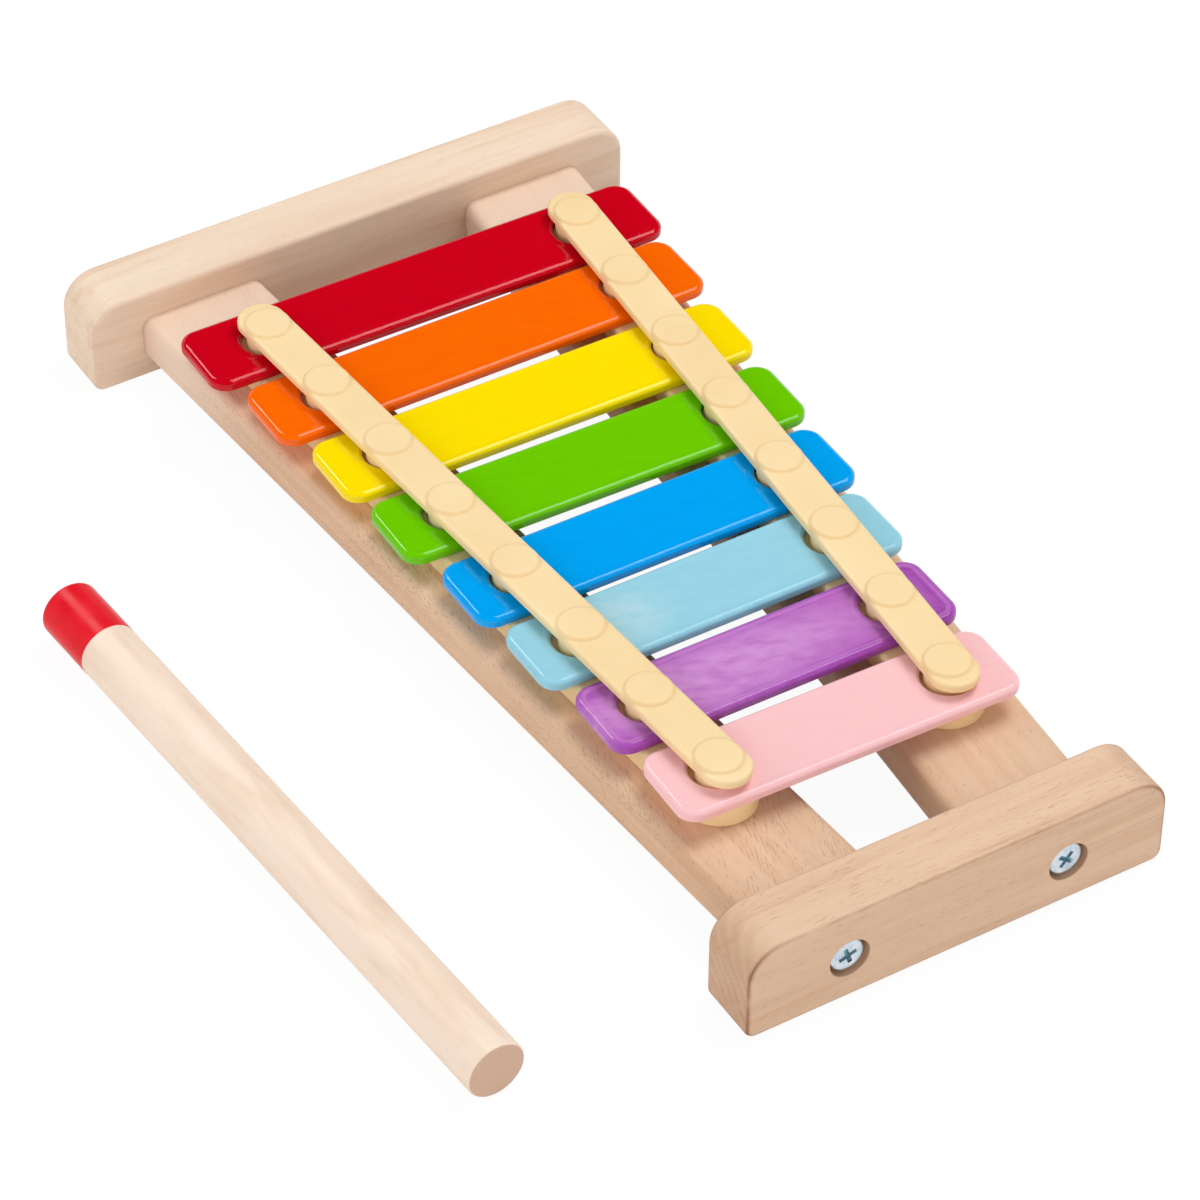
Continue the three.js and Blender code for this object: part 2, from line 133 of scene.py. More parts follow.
HEAD_TUCK = 6.0  # how late a head narrows towards its top
HEAD_TUCK_SHARE = 0.01  # and how much
THREAD_KEENNESS = 4.0  # how narrow the thread's ridge is
TIP_LENGTH = 3 * MM
TIP_SHARE = 0.06  # width of a shank's tip
RECESS_DRAFT_SHARE = 0.55  # how wide the cross's cutter is at its foot next to its top
RECESS_OVERRUN = 1.6  # how many times the depth of the cross its cutter is high
RECESS_MARGIN = 1.1  # how many times the reach of the cross its points are looked for
RECESS_FLOOR = 0.1 * MM  # a point lower than this in a head belongs to its underside

# Beater.
BEATER_ROUND = 0.9 * MM
DIP_ROUND = 1.3 * BEATER_ROUND
DIPPED_LENGTH = 20 * MM
PAINT_COAT = 0.08 * MM
PAINT_EDGE = 0.12 * MM  # length over which the coat thins at its end
PAINT_EDGE_ROUND = 0.03 * MM
PAINT_GRIP = 0.05 * MM  # how far the coat's inner end is sunk in the wood
DOWEL_LAP = MM  # how far the wood runs on under the coat's closed end
DOWEL_BARE_START = 5 * MM  # from the paint to the first ring of bare wood
DOWEL_RING_SHARES = [share / 6 for share in range(-3, 5)]  # of half its length
DOWEL_STEPS = 96

# Camera, lamps and floor.
CAMERA_AIM = Vector((176.4, -25.9, 28.9)) * MM
CAMERA_DISTANCE = 1266.3 * MM
CAMERA_AZIMUTH = 58.61
CAMERA_ELEVATION = 41.95
CAMERA_ROLL = 0.39
CAMERA_LENS = 153.1
SENSOR_WIDTH = 36
NEAREST_SEEN = 0.05
FARTHEST_SEEN = 50
FLOOR_HALF = 4
FLOOR_LEVEL = -0.05 * MM
FLOOR_BOUNCE = 0.8  # share of the light that the floor throws back on the object
FLOOR_SHADOW = 0.07  # how much of the floor's white its lit colour makes, so how deep shadows are
FLOOR_LIGHT = 0.85  # how bright the lamps make a white floor, 1 being white in the render
CEILING_HALF = 5
CEILING_HEIGHT = 2.4
CEILING_SHADE = 0.02
SKY_LIGHT = 0.42  # of the world on the object, where 1 is the white that the camera sees
# Each lamp's direction from the object, distance, size, power, whether gloss shows it, and
# whether it lights matt surfaces.
LAMPS = {
    "softbox above and behind": ((-0.05, 0.5, 1.0), 1.5, 0.8, 12.3, True, True),
    "wide fill from the near end": ((0.85, -0.45, 0.35), 2.0, 1.6, 13.3, False, True),
    "fill from the far left": ((-0.4, -0.9, 0.4), 1.2, 0.8, 3.7, False, True),
    "small light for the gloss of the left edges": ((-0.69, -0.14, 0.71), 1.5, 0.5, 7.2, True, False),
}

# Marks on the points of pieces, which their finishes read.
BURNISH = "burnish"  # how far sanding has browned a wooden edge
END_GRAIN = "end_grain"  # 1 where the grain of the wood comes to the surface
DISC_FOOT_SHADE = "painted_disc_foot_shade"  # 1 along the foot of a disc, where shade is painted
RECESS_SHADE = "recess"  # how deep a point of a screw's head lies in its cross, which sets the shade painted there
BEAD_HIGHLIGHT = "painted_bead_highlight"  # 1 along the inner slope of a bar's bead of paint, where a highlight is painted

# Textures of the wood: features a metre along X, Y and Z, then detail, roughness and distortion.
CLOUDS = ((9, 48, 48), 3.0, 0.55, 0.5)
FIGURE = ((11, 210, 210), 3.0, 0.6, 0.6)
FIBRES = ((40, 1100, 1100), 4.0, 0.7, 0.0)
FLECKS = ((300, 2900, 2900), 1.0, 0.4, 0.0)
FLECK_PATCHES = ((22, 70, 70), 2.0, 0.5, 0.0)
RUBBING = ((60, 60, 60), 3.0, 0.6, 0.0)
DOWEL_STREAKS = ((34, 190, 190), 3.0, 0.5, 0.4)
DOWEL_FIBRES = ((50, 900, 900), 3.0, 0.6, 0.0)
DIPPED_GRAIN = ((60, 900, 900), 2.0, 0.5, 0.0)

# Wood.
HEART = (0, 0.03, -0.09)  # from a piece's place to the middle of its growth rings
RING_SCALE = 95
RING_STRETCH = (0.5, 1, 1)
RING_SHARE = 0.06  # of the growth rings in the tone of the wood
FLECK_SHARES = {"far": 0.35, "near": 0.75, "left": 1, "right": 0.35}
FLECK_BAND = (0.88, 0.95)  # where a fleck starts in its texture, and where it is full
FLECK_SPREAD = 0.12  # how much lower both are where the share of flecks is 1
PATCH_SHARE = 0.3  # how far the flecks gather in patches
FLECK_DEPTH = 0.42
FLECK_LEAN = math.radians(-15)  # the rails' flecks lie askew to their length
FIBRE_SHARE = 0.25  # how much the fibres show in the tone
RUBBED_BAND = (0.22, 0.52)  # of its texture, between an edge's unworn and browned spots
END_TONE_SHARE = 0.9
PALE_BAND = (20 * MM, 75 * MM)  # a rail is palest up to the first place and plain past the second
PALE_SHARE = 0.75
PALE_FLECK_DEPTH = 0.1
JOIN_GRIME_AND_SHADE_BAND = (9.2 * MM, 11 * MM)  # where the brown line at the far block, part grime in the joint and part painted shade, fades
JOIN_GRIME_AND_SHADE_SHARE = 0.35

# Plastic and zinc.
# How far the painted shade darkens the foot of each disc.
DISC_FOOT_SHADE_SHARE = 0.26
RECESS_SHADE_BAND = (0.05, 0.5)  # of its depth, between the head's tone and the cross's painted shade
RECESS_SHADE_DULLNESS = 0.6  # how much less metallic the cross is, as part of its painted shade

# Paint.
PAINT_SHIFT = 31 * MM  # from the pattern of one bar's paint to the next bar's
MOTTLE_TURN = math.radians(72)
MOTTLE_STRETCH = (1, 2.6, 1)
# How far a painted sheen lies to the left of a bar's middle, its half length and half width, and
# how strong the painted highlight along the bar's bead is.
PAINTED_SHEENS = {
    "light_blue": (27 * MM, 19 * MM, 12 * MM, 0.08),
    "purple": (15 * MM, 54 * MM, 13 * MM, 0.42),
}
PAINTED_SHEEN_BAND = (0.35, 1.1)  # of its half sizes: where it starts to fade, and where it ends
PAINTED_SHEEN_MOTTLE_BAND = (-0.1, 0.8)  # of the mottle that breaks it up


def colour(red, green, blue):
    """A colour as a screen shows it, 0 to 255, in the linear form that a shader takes."""
    linear = []
    for share in (red / 255, green / 255, blue / 255):
        linear.append(share / 12.92 if share <= 0.04045 else ((share + 0.055) / 1.055) ** 2.4)
    return (*linear, 1)


def grey(value):
    return (value, value, value, 1)


# Tones. Wood's are light, middle, dark, the flecks' and the burnished edges'.
FAR_TONES = [
    colour(244, 222, 199),
    colour(241, 216, 191),
    colour(236, 208, 182),
    colour(208, 170, 138),
    colour(190, 148, 114),
]
NEAR_TONES = [
    colour(235, 200, 171),
    colour(231, 195, 165),
    colour(225, 188, 157),
    colour(186, 138, 106),
    colour(142, 88, 56),
]
RAIL_TONES = [
    colour(234, 199, 168),
    colour(228, 191, 159),
    colour(218, 179, 146),
    colour(170, 124, 94),
    colour(158, 112, 82),
]
RAIL_PALE = colour(243, 219, 198)
FIGURE_TONE = colour(248, 241, 235)
NEAR_END_TONE = colour(228, 220, 214)
DOWEL_TONES = [colour(240, 213, 190), colour(249, 227, 206), colour(251, 230, 212)]
DOWEL_END = colour(217, 179, 153)
CREAM_TONES = [colour(245, 215, 160), colour(249, 221, 169), colour(251, 227, 180)]
# The painted shade along the foot of each disc.
CREAM_FOOT_SHADE = colour(224, 180, 116)
ZINC_TONES = [colour(178, 194, 210), colour(208, 219, 228), colour(232, 238, 242)]
# The painted shade in a screw's cross.
ZINC_RECESS_SHADE = colour(128, 172, 186)
DIP_TONES = [colour(224, 16, 32), colour(232, 24, 40), colour(238, 40, 54)]
# The paints' plain and deep tones, and the pale tone of the painted sheen and bead highlight.
PAINTS = {
    "red": [colour(205, 0, 26), colour(202, 0, 25), colour(210, 2, 30)],
    "orange": [colour(252, 106, 0), colour(250, 103, 0), colour(254, 112, 2)],
    "yellow": [colour(255, 225, 0), colour(254, 223, 0), colour(255, 230, 10)],
    "green": [colour(110, 202, 0), colour(107, 199, 0), colour(118, 208, 8)],
    "blue": [colour(0, 164, 244), colour(0, 161, 241), colour(6, 170, 246)],
    "light_blue": [colour(152, 211, 229), colour(148, 207, 226), colour(180, 220, 231)],
    "purple": [colour(172, 84, 184), colour(160, 70, 174), colour(212, 150, 213)],
    "pink": [colour(253, 200, 203), colour(252, 197, 201), colour(254, 208, 210)],
}

# Pieces of wood. place: where the pattern is counted from. heart: from there to its rings' middle.
BLOCK_WOODS = {
    "far": {"tones": FAR_TONES, "end_rings": 0.1},
    "near": {
        "tones": NEAR_TONES,
        "place": (0.29, 0.1, 0.01),
        "heart": (-0.035, 0, -0.03),
        "end_tone": NEAR_END_TONE,
        "end_rings": 0.24,
    },
}
RAIL_PLACE = (0.7, 0.05, 0.02)


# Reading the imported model.
def corners(node):
    return [vertex.co.copy() for vertex in NODES[node].data.vertices]


def middle(points):
    low = Vector(map(min, zip(*points)))
    high = Vector(map(max, zip(*points)))
    return (low + high) / 2


def lie_of(node):
    """Where a flat, symmetric piece lies: its middle, its turn about Z, and its half sizes."""
    points = corners(node)
    centre = middle(points)
    flat = [(point - centre).to_2d() for point in points]
    xx = sum(p.x * p.x for p in flat)
    yy = sum(p.y * p.y for p in flat)
    xy = sum(p.x * p.y for p in flat)
    turn = 0.5 * math.atan2(2 * xy, xx - yy)
    back = Matrix.Rotation(-turn, 2)
    along = [back @ p for p in flat]
    half_length = max(p.x for p in along)
    half_width = max(p.y for p in along)
    return centre, turn, half_length, half_width


def post_places(side):
    """The axes of a strap's posts, from the far one to the near one."""
    points = corners(f"{side}_top_strap")
    low = min(point.z for point in points)
    feet = sorted((point for point in points if point.z < low + SAME_LEVEL), key=lambda p: p.x)
    groups = [[feet[0]]]
    for before, after in zip(feet, feet[1:]):
        if after.x - before.x > 2 * POST_RADIUS:
            groups.append([])
        groups[-1].append(after)
    return [middle(group).to_2d() for group in groups]


POSTS = {side: post_places(side) for side in SIDES}
BOXES = {name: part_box(name) for name in NODES}
BAR_LOW = BOXES["red_bar"][0].z
BAR_TOP = BOXES["red_bar"][1].z
STRAP_TOP = BOXES["left_top_strap"][1].z - DISC_HEIGHT
STRAP_LOW = STRAP_TOP - STRAP_THICKNESS


# Outlines, as lists of flat points that run anticlockwise.
def arc(x, y, radius, start, end, steps):
    turns = [start + (end - start) * step / steps for step in range(steps + 1)]
    return [Vector((x + radius * math.cos(turn), y + radius * math.sin(turn))) for turn in turns]


def circle(x, y, radius, steps):
    return arc(x, y, radius, 0, 2 * math.pi, steps)[:-1]


def rounded_box(half_x, half_y, radii, inset=0, steps=12):
    """radii: of the corners in the quadrants + +, - +, - - and + -."""
    outline = []
    for quadrant, (radius, sx, sy) in enumerate(zip(radii, (1, -1, -1, 1), (1, 1, -1, -1))):
        start = quadrant * QUARTER
        x = sx * (half_x - radius)
        y = sy * (half_y - radius)
        outline += arc(x, y, radius - inset, start, start + QUARTER, steps)
    return outline


def edge_profile(low, high, low_round, high_round, steps):
    """How far in and how high the wall of a plate with rounded edges is, from its underside up."""
    profile = []
    for step in range(steps + 1):
        turn = step / steps * QUARTER
        rise = 1 - math.cos(turn)
        profile.append((low_round * (1 - math.sin(turn)), low + low_round * rise))
    for step in range(steps + 1):
        turn = step / steps * QUARTER
        profile.append((high_round * (1 - math.cos(turn)), high - high_round * (1 - math.sin(turn))))
    return profile


# Meshes.
def ring(mesh, flat, height):
    return [mesh.verts.new((point.x, point.y, height)) for point in flat]


def bridge(mesh, low, high):
    count = len(low)
    for here in range(count):
        after = (here + 1) % count
        mesh.faces.new((low[here], low[after], high[after], high[here]))


def fill(mesh, rings):
    """Closes a flat face whose rim is the first ring and whose openings are the others."""
    edges = []
    for loop in rings:
        for here, after in zip(loop, loop[1:] + loop[:1]):
            edges.append(mesh.edges.get((here, after)) or mesh.edges.new((here, after)))
    bmesh.ops.triangle_fill(mesh, use_beauty=True, edges=edges)


def plate(mesh, outline, profile, holes=(), hole_profile=()):
    """A plate with rounded edges. outline and holes give a flat ring for an inset."""
    walls = [[ring(mesh, outline(inset), height) for inset, height in profile]]
    for hole in holes:
        walls.append([ring(mesh, hole(inset), height) for inset, height in hole_profile])
    for wall in walls:
        for low, high in zip(wall, wall[1:]):
            bridge(mesh, low, high)
    for end in (0, -1):
        fill(mesh, [wall[end] for wall in walls])


def turned(mesh, profile, steps):
    """A closed shape of revolution about Z from (radius, height) points between two poles."""
    start = mesh.verts.new((0, 0, profile[0][1]))
    rings = [ring(mesh, circle(0, 0, radius, steps), height) for radius, height in profile[1:-1]]
    end = mesh.verts.new((0, 0, profile[-1][1]))
    for low, high in zip(rings, rings[1:]):
        bridge(mesh, low, high)
    for here in range(steps):
        after = (here + 1) % steps
        mesh.faces.new((rings[0][after], rings[0][here], start))
        mesh.faces.new((rings[-1][here], rings[-1][after], end))


def add_turned(mesh, profile, steps, place):
    """Adds a closed shape of revolution to a mesh that holds other shapes."""
    fresh = bmesh.new()
    turned(fresh, profile, steps)
    fresh.transform(place)
    spare = bpy.data.meshes.new("spare")
    fresh.to_mesh(spare)
    fresh.free()
    mesh.from_mesh(spare)
    bpy.data.meshes.remove(spare)


def shown(name, data):
    """A new object in the scene."""
    thing = bpy.data.objects.new(name, data)
    bpy.context.scene.collection.objects.link(thing)
    return thing


def finished(name, mesh, material, stands_for=(), place=Matrix(), sharp=35, body=BODY):
    """Makes a mesh a piece: placed, facing outwards, smooth and with flat faces kept flat."""
    bmesh.ops.remove_doubles(mesh, verts=mesh.verts, dist=DOUBLES)
    bmesh.ops.recalc_face_normals(mesh, faces=mesh.faces)
    bmesh.ops.transform(mesh, matrix=place, verts=mesh.verts)
    data = bpy.data.meshes.new(name)
    mesh.to_mesh(data)
    mesh.free()
    data.materials.append(material)
    thing = shown(name, data)
    smooth(thing, sharp)
    declare(thing, body, stands_for)
    return thing


def declare(thing, body, stands_for):
    """Says which body a piece rides on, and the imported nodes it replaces."""
    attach(thing, body)
    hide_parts(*stands_for)


def smooth(thing, sharp):
    """Shades a piece smooth, apart from edges sharper than so many degrees."""
    thing.data.shade_smooth()
    thing.data.set_sharp_from_angle(angle=math.radians(sharp))
    weighted = thing.modifiers.new("flat faces stay flat", "WEIGHTED_NORMAL")
    weighted.keep_sharp = True
    settle(thing)


def settle(thing):
    """Takes the result of a piece's modifiers as its plain mesh."""
    graph = bpy.context.evaluated_depsgraph_get()
    data = bpy.data.meshes.new_from_object(thing.evaluated_get(graph))
    thing.modifiers.clear()
    thing.data = data


def carve(thing, cutter):
    """Cuts a closed mesh out of a piece."""
    tool_data = bpy.data.meshes.new("cutter")
    bmesh.ops.recalc_face_normals(cutter, faces=cutter.faces)
    cutter.to_mesh(tool_data)
    cutter.free()
    tool = shown("cutter", tool_data)
    knife = thing.modifiers.new("cut", "BOOLEAN")
    knife.operation = "DIFFERENCE"
    knife.solver = "EXACT"
    knife.object = tool
    settle(thing)
    bpy.data.objects.remove(tool)
    bpy.data.meshes.remove(tool_data)


def mark(thing, name, measure):
    """Gives each point of a piece a number that its finish reads."""
    marks = thing.data.attributes.new(name, "FLOAT", "POINT")
    for vertex, entry in zip(thing.data.vertices, marks.data):
        entry.value = measure(vertex)


def clamped(value):
    return min(max(value, 0), 1)


def stripe(off):
    """1 in the middle of a soft line, 0 from its half width outwards."""
    return max(0, 1 - off * off)


# Nodes.
def put(tree, kind, inputs, **settings):
    """Adds a node. inputs: a value or another node's socket, by the name or number of the input."""
    node = tree.nodes.new(kind)
    for key, value in settings.items():
        setattr(node, key, value)
    for key, value in inputs.items():
        if isinstance(value, bpy.types.NodeSocket):
            tree.links.new(value, node.inputs[key])
        else:
            node.inputs[key].default_value = value
    return node


def ramp(tree, factor, *stops):
    """A colour ramp through (place, colour) stops."""
    node = put(tree, "ShaderNodeValToRGB", {"Fac": factor})
    band = node.color_ramp
    band.elements[0].position, band.elements[0].color = stops[0]
    band.elements[1].position, band.elements[1].color = stops[-1]
    for place, tone in stops[1:-1]:
        band.elements.new(place).color = tone
    return node.outputs["Color"]


def grey_ramp(tree, factor, *stops):
    """A ramp of greys through (place, value) stops."""
    return ramp(tree, factor, *[(place, grey(value)) for place, value in stops])


def between(tree, factor, low, high):
    """0 where factor is at or below low, 1 at or above high."""
    inputs = {"Value": factor, "From Min": low, "From Max": high}
    return put(tree, "ShaderNodeMapRange", inputs, interpolation_type="SMOOTHSTEP").outputs["Result"]


def mixed(tree, factor, first, second, blend="MIX"):
    inputs = {0: factor, 6: first, 7: second}
    return put(tree, "ShaderNodeMix", inputs, data_type="RGBA", blend_type=blend).outputs[2]


def maths(tree, operation, first, second=0.0):
    return put(tree, "ShaderNodeMath", {0: first, 1: second}, operation=operation).outputs[0]


def product(tree, first, second):
    return maths(tree, "MULTIPLY", first, second)


def remainder(tree, share):
    """What a share leaves of 1."""
    return maths(tree, "SUBTRACT", 1.0, share)


def vector(tree, x=0.0, y=0.0, z=0.0):
    return put(tree, "ShaderNodeCombineXYZ", {0: x, 1: y, 2: z}).outputs[0]


def parts_of(tree, whole):
    """The three parts of a vector."""
    return put(tree, "ShaderNodeSeparateXYZ", {0: whole}).outputs


def length_of(tree, whole):
    return put(tree, "ShaderNodeVectorMath", {0: whole}, operation="LENGTH").outputs["Value"]


def mark_of(tree, name):
    return put(tree, "ShaderNodeAttribute", {}, attribute_name=name).outputs["Fac"]


def noise(tree, place, scale, detail=2.0, roughness=0.5, distortion=0.0):
    inputs = {
        "Vector": place,
        "Scale": scale,
        "Detail": detail,
        "Roughness": roughness,
        "Distortion": distortion,
    }
    return put(tree, "ShaderNodeTexNoise", inputs).outputs[0]


def coordinates(tree, place=(0, 0, 0), turn=0.0, stretch=(1, 1, 1)):
    """Object coordinates, counted from a place, turned about Z and then stretched."""
    local = put(tree, "ShaderNodeTexCoord", {}).outputs["Object"]
    inputs = {"Vector": local, "Location": place, "Rotation": (0, 0, turn)}
    placed = put(tree, "ShaderNodeMapping", inputs, vector_type="TEXTURE").outputs[0]
    return put(tree, "ShaderNodeMapping", {"Vector": placed, "Scale": stretch}).outputs[0]


def grain(tree, texture, place=(0, 0, 0), turn=0.0):
    """One of the textures of the wood, drawn out along X after the turn."""
    stretch, detail, roughness, distortion = texture
    return noise(tree, coordinates(tree, place, turn, stretch), 1.0, detail, roughness, distortion)


def bump(tree, height, strength, distance, normal=None):
    inputs = {"Height": height, "Strength": strength, "Distance": distance}
    if normal is not None:
        inputs["Normal"] = normal
    return put(tree, "ShaderNodeBump", inputs).outputs[0]


def new_finish(name):
    material = bpy.data.materials.new(name)
    material.use_nodes = True
    tree = material.node_tree
    return material, tree, tree.nodes["Principled BSDF"]


def dress(tree, shader, base, rough, normal, specular):
    """Gives a shader what its finish has worked out."""
    tree.links.new(base, shader.inputs["Base Color"])
    tree.links.new(rough, shader.inputs["Roughness"])
    tree.links.new(normal, shader.inputs["Normal"])
    shader.inputs["Specular IOR Level"].default_value = specular


# Finishes.
def beech(
    name,
    tones,
    fleck_share,
    turn,
    place=(0, 0, 0),
    heart=HEART,
    fleck_turn=None,
    end_tone=None,
    end_rings=RING_SHARE,
    pales=False,
):
    """Sanded beech with its grain along X after the turn: soft figure, faint growth rings about
    the heart, fibres, the short brown flecks of its rays, and burnished edges."""
    light, mid, dark, fleck, burnt = tones
    material, tree, shader = new_finish(name)
    end = mark_of(tree, END_GRAIN)
    inputs = {"Value": end, "To Min": RING_SHARE, "To Max": end_rings}
    ring_share = put(tree, "ShaderNodeMapRange", inputs).outputs[0]
    rings = growth_rings(tree, Vector(place) + Vector(heart), turn)
    tone = mixed(tree, ring_share, grain(tree, CLOUDS, place, turn), rings)
    base = ramp(tree, tone, (0.3, dark), (0.5, mid), (0.7, light))
    figure = ramp(tree, grain(tree, FIGURE, place, turn), (0.34, FIGURE_TONE), (0.5, grey(1.0)))
    base = mixed(tree, 1.0, base, figure, "MULTIPLY")
    fibres = grain(tree, FIBRES, place, turn)
    base = mixed(tree, FIBRE_SHARE, base, grey_ramp(tree, fibres, (0.32, 0.84), (0.56, 1.0)), "MULTIPLY")
    mask = flecks(tree, fleck_share, place, turn if fleck_turn is None else fleck_turn)
    depth = FLECK_DEPTH
    if pales:
        base, depth = paled(tree, base, fleck)
    base = mixed(tree, product(tree, mask, depth), base, fleck)
    rubbed = between(tree, grain(tree, RUBBING, place), *RUBBED_BAND)
    base = mixed(tree, product(tree, mark_of(tree, BURNISH), rubbed), base, burnt)
    if end_tone:
        base = mixed(tree, product(tree, end, END_TONE_SHARE), base, end_tone, "MULTIPLY")
    rough = grey_ramp(tree, fibres, (0.3, 0.66), (0.7, 0.54))
    normal = bump(tree, fibres, strength=0.3, distance=0.05 * MM)
    normal = bump(tree, product(tree, mask, -1.0), strength=0.35, distance=0.05 * MM, normal=normal)
    dress(tree, shader, base, rough, normal, specular=0.3)
    return material


def growth_rings(tree, heart, turn):
    inputs = {
        "Vector": coordinates(tree, heart, turn, RING_STRETCH),
        "Scale": RING_SCALE,
        "Distortion": 3.5,
        "Detail": 3.0,
        "Detail Scale": 0.5,
    }
    return put(tree, "ShaderNodeTexWave", inputs, wave_type="RINGS", rings_direction="X").outputs["Fac"]


def flecks(tree, share, place, turn):
    """1 in a fleck of the wood's rays, which gather in loose patches."""
    patches = product(tree, grain(tree, FLECK_PATCHES, place, turn), PATCH_SHARE)
    crowd = maths(tree, "ADD", grain(tree, FLECKS, place, turn), patches)
    start, full = FLECK_BAND
    return between(tree, crowd, start - FLECK_SPREAD * share, full - FLECK_SPREAD * share)


def paled(tree, base, fleck):
    """A rail is paler near the far block, with fainter flecks and a brown line at the join that is part
    grime and part painted shade.
    """
    forward = parts_of(tree, coordinates(tree))[0]
    plain = between(tree, forward, *PALE_BAND)
    base = mixed(tree, product(tree, remainder(tree, plain), PALE_SHARE), base, RAIL_PALE)
    # The brown line at the join: part grime, part painted shade.
    join_grime_and_shade = remainder(tree, between(tree, forward, *JOIN_GRIME_AND_SHADE_BAND))
    base = mixed(tree, product(tree, join_grime_and_shade, JOIN_GRIME_AND_SHADE_SHARE), base, fleck)
    deeper = product(tree, plain, FLECK_DEPTH - PALE_FLECK_DEPTH)
    return base, maths(tree, "ADD", PALE_FLECK_DEPTH, deeper)


def dowel_beech(turn, place):
    """The beater's pale, close-grained beech: soft cream with long, faint pinkish streaks."""
    material, tree, shader = new_finish("beater beech")
    ochre, cream, pink = DOWEL_TONES
    streaks = grain(tree, DOWEL_STREAKS, place, turn)
    base = ramp(tree, streaks, (0.3, ochre), (0.5, cream), (0.7, pink))
    base = mixed(tree, mark_of(tree, END_GRAIN), base, DOWEL_END)
    fibres = grain(tree, DOWEL_FIBRES, place, turn)
    base = mixed(tree, FIBRE_SHARE, base, grey_ramp(tree, fibres, (0.3, 0.86), (0.55, 1.0)), "MULTIPLY")
    rough = grey_ramp(tree, fibres, (0.3, 0.6), (0.7, 0.48))
    normal = bump(tree, fibres, strength=0.2, distance=0.04 * MM)
    dress(tree, shader, base, rough, normal, specular=0.3)
    return material


def gloss_paint(name, number):
    """Thick gloss paint on a steel bar: faint mottle, orange peel and slow waves in its film, and
    on some bars a painted sheen and a painted highlight along the bead."""
    tone, deep, pale = PAINTS[name]
    material, tree, shader = new_finish(f"{name} gloss paint")
    start = (number * PAINT_SHIFT, 0, 0)
    here = coordinates(tree, start)
    streaked = coordinates(tree, start, MOTTLE_TURN, MOTTLE_STRETCH)
    mottle = noise(tree, streaked, 150, detail=3.0, roughness=0.6)
    base = ramp(tree, mottle, (0.32, deep), (0.6, tone))
    # Painted sheen and painted bead highlight, on the bars listed for them.
    if name in PAINTED_SHEENS:
        base = painted_sheen_and_highlight(tree, name, base, mottle, pale)
    scuffs = noise(tree, here, 160, detail=4.0, roughness=0.6, distortion=0.4)
    rough = grey_ramp(tree, scuffs, (0.35, 0.07), (0.7, 0.13))
    peel = noise(tree, here, 420, roughness=0.45)
    waves = noise(tree, here, 45)
    normal = bump(tree, peel, strength=0.22, distance=0.03 * MM)
    normal = bump(tree, waves, strength=0.35, distance=0.12 * MM, normal=normal)
    dress(tree, shader, base, rough, normal, specular=0.28)
    return material


def painted_sheen_and_highlight(tree, name, base, mottle, pale):
    """Paints a sheen on a zone of a bar's paint, and a highlight along its bead."""
    shift, half_along, half_across, highlight_share = PAINTED_SHEENS[name]
    centre = lie_of(f"{name}_bar")[0] - Vector((0, shift, 0))
    local = coordinates(tree, centre, stretch=(1 / half_across, 1 / half_along, 0))
    inside = remainder(tree, between(tree, length_of(tree, local), *PAINTED_SHEEN_BAND))
    share = product(tree, inside, between(tree, mottle, *PAINTED_SHEEN_MOTTLE_BAND))
    base = mixed(tree, share, base, pale)
    return mixed(tree, product(tree, mark_of(tree, BEAD_HIGHLIGHT), highlight_share), base, pale)


def moulded_cream():
    """Satin cream plastic, a little cloudy, with the faint texture of its mould and painted shade along the
    foot of each disc.
    """
    material, tree, shader = new_finish("moulded cream plastic")
    deep, plain, pale = CREAM_TONES
    here = coordinates(tree)
    cloud = noise(tree, here, 38, detail=3.0)
    base = ramp(tree, cloud, (0.3, deep), (0.55, plain), (0.8, pale))
    # Painted shade along the foot of each disc.
    base = mixed(tree, product(tree, mark_of(tree, DISC_FOOT_SHADE), DISC_FOOT_SHADE_SHARE), base, CREAM_FOOT_SHADE)
    texture = noise(tree, here, 1400)
    rough = grey_ramp(tree, texture, (0.3, 0.4), (0.7, 0.5))
    normal = bump(tree, texture, strength=0.12, distance=0.02 * MM)
    normal = bump(tree, noise(tree, here, 90), strength=0.15, distance=0.08 * MM, normal=normal)
    dress(tree, shader, base, rough, normal, specular=0.4)
    shader.inputs["Subsurface Weight"].default_value = 0.08
    shader.inputs["Subsurface Radius"].default_value = (1.0, 0.6, 0.3)
    shader.inputs["Subsurface Scale"].default_value = 0.8 * MM
    return material


def bright_zinc():
    """Bluish zinc plate with the swirl and small dents of a tumbled screw, with painted shade in its cross.
    """
    material, tree, shader = new_finish("bright zinc plate")
    dull, plain, bright = ZINC_TONES
    here = coordinates(tree)
    blotch = noise(tree, here, 420, detail=3.0, roughness=0.6)
    base = ramp(tree, blotch, (0.3, dull), (0.5, plain), (0.8, bright))
    # Painted shade in the cross: a darker, less metallic tone deeper in it.
    sunk = between(tree, mark_of(tree, RECESS_SHADE), *RECESS_SHADE_BAND)
    base = mixed(tree, sunk, base, ZINC_RECESS_SHADE)
    metallic = remainder(tree, product(tree, sunk, RECESS_SHADE_DULLNESS))
    tree.links.new(metallic, shader.inputs["Metallic"])
    dents = noise(tree, here, 900, detail=3.0, roughness=0.6)
    rough = grey_ramp(tree, dents, (0.3, 0.22), (0.7, 0.36))
    normal = bump(tree, dents, strength=0.3, distance=0.04 * MM)
    dress(tree, shader, base, rough, normal, specular=0.5)
    return material


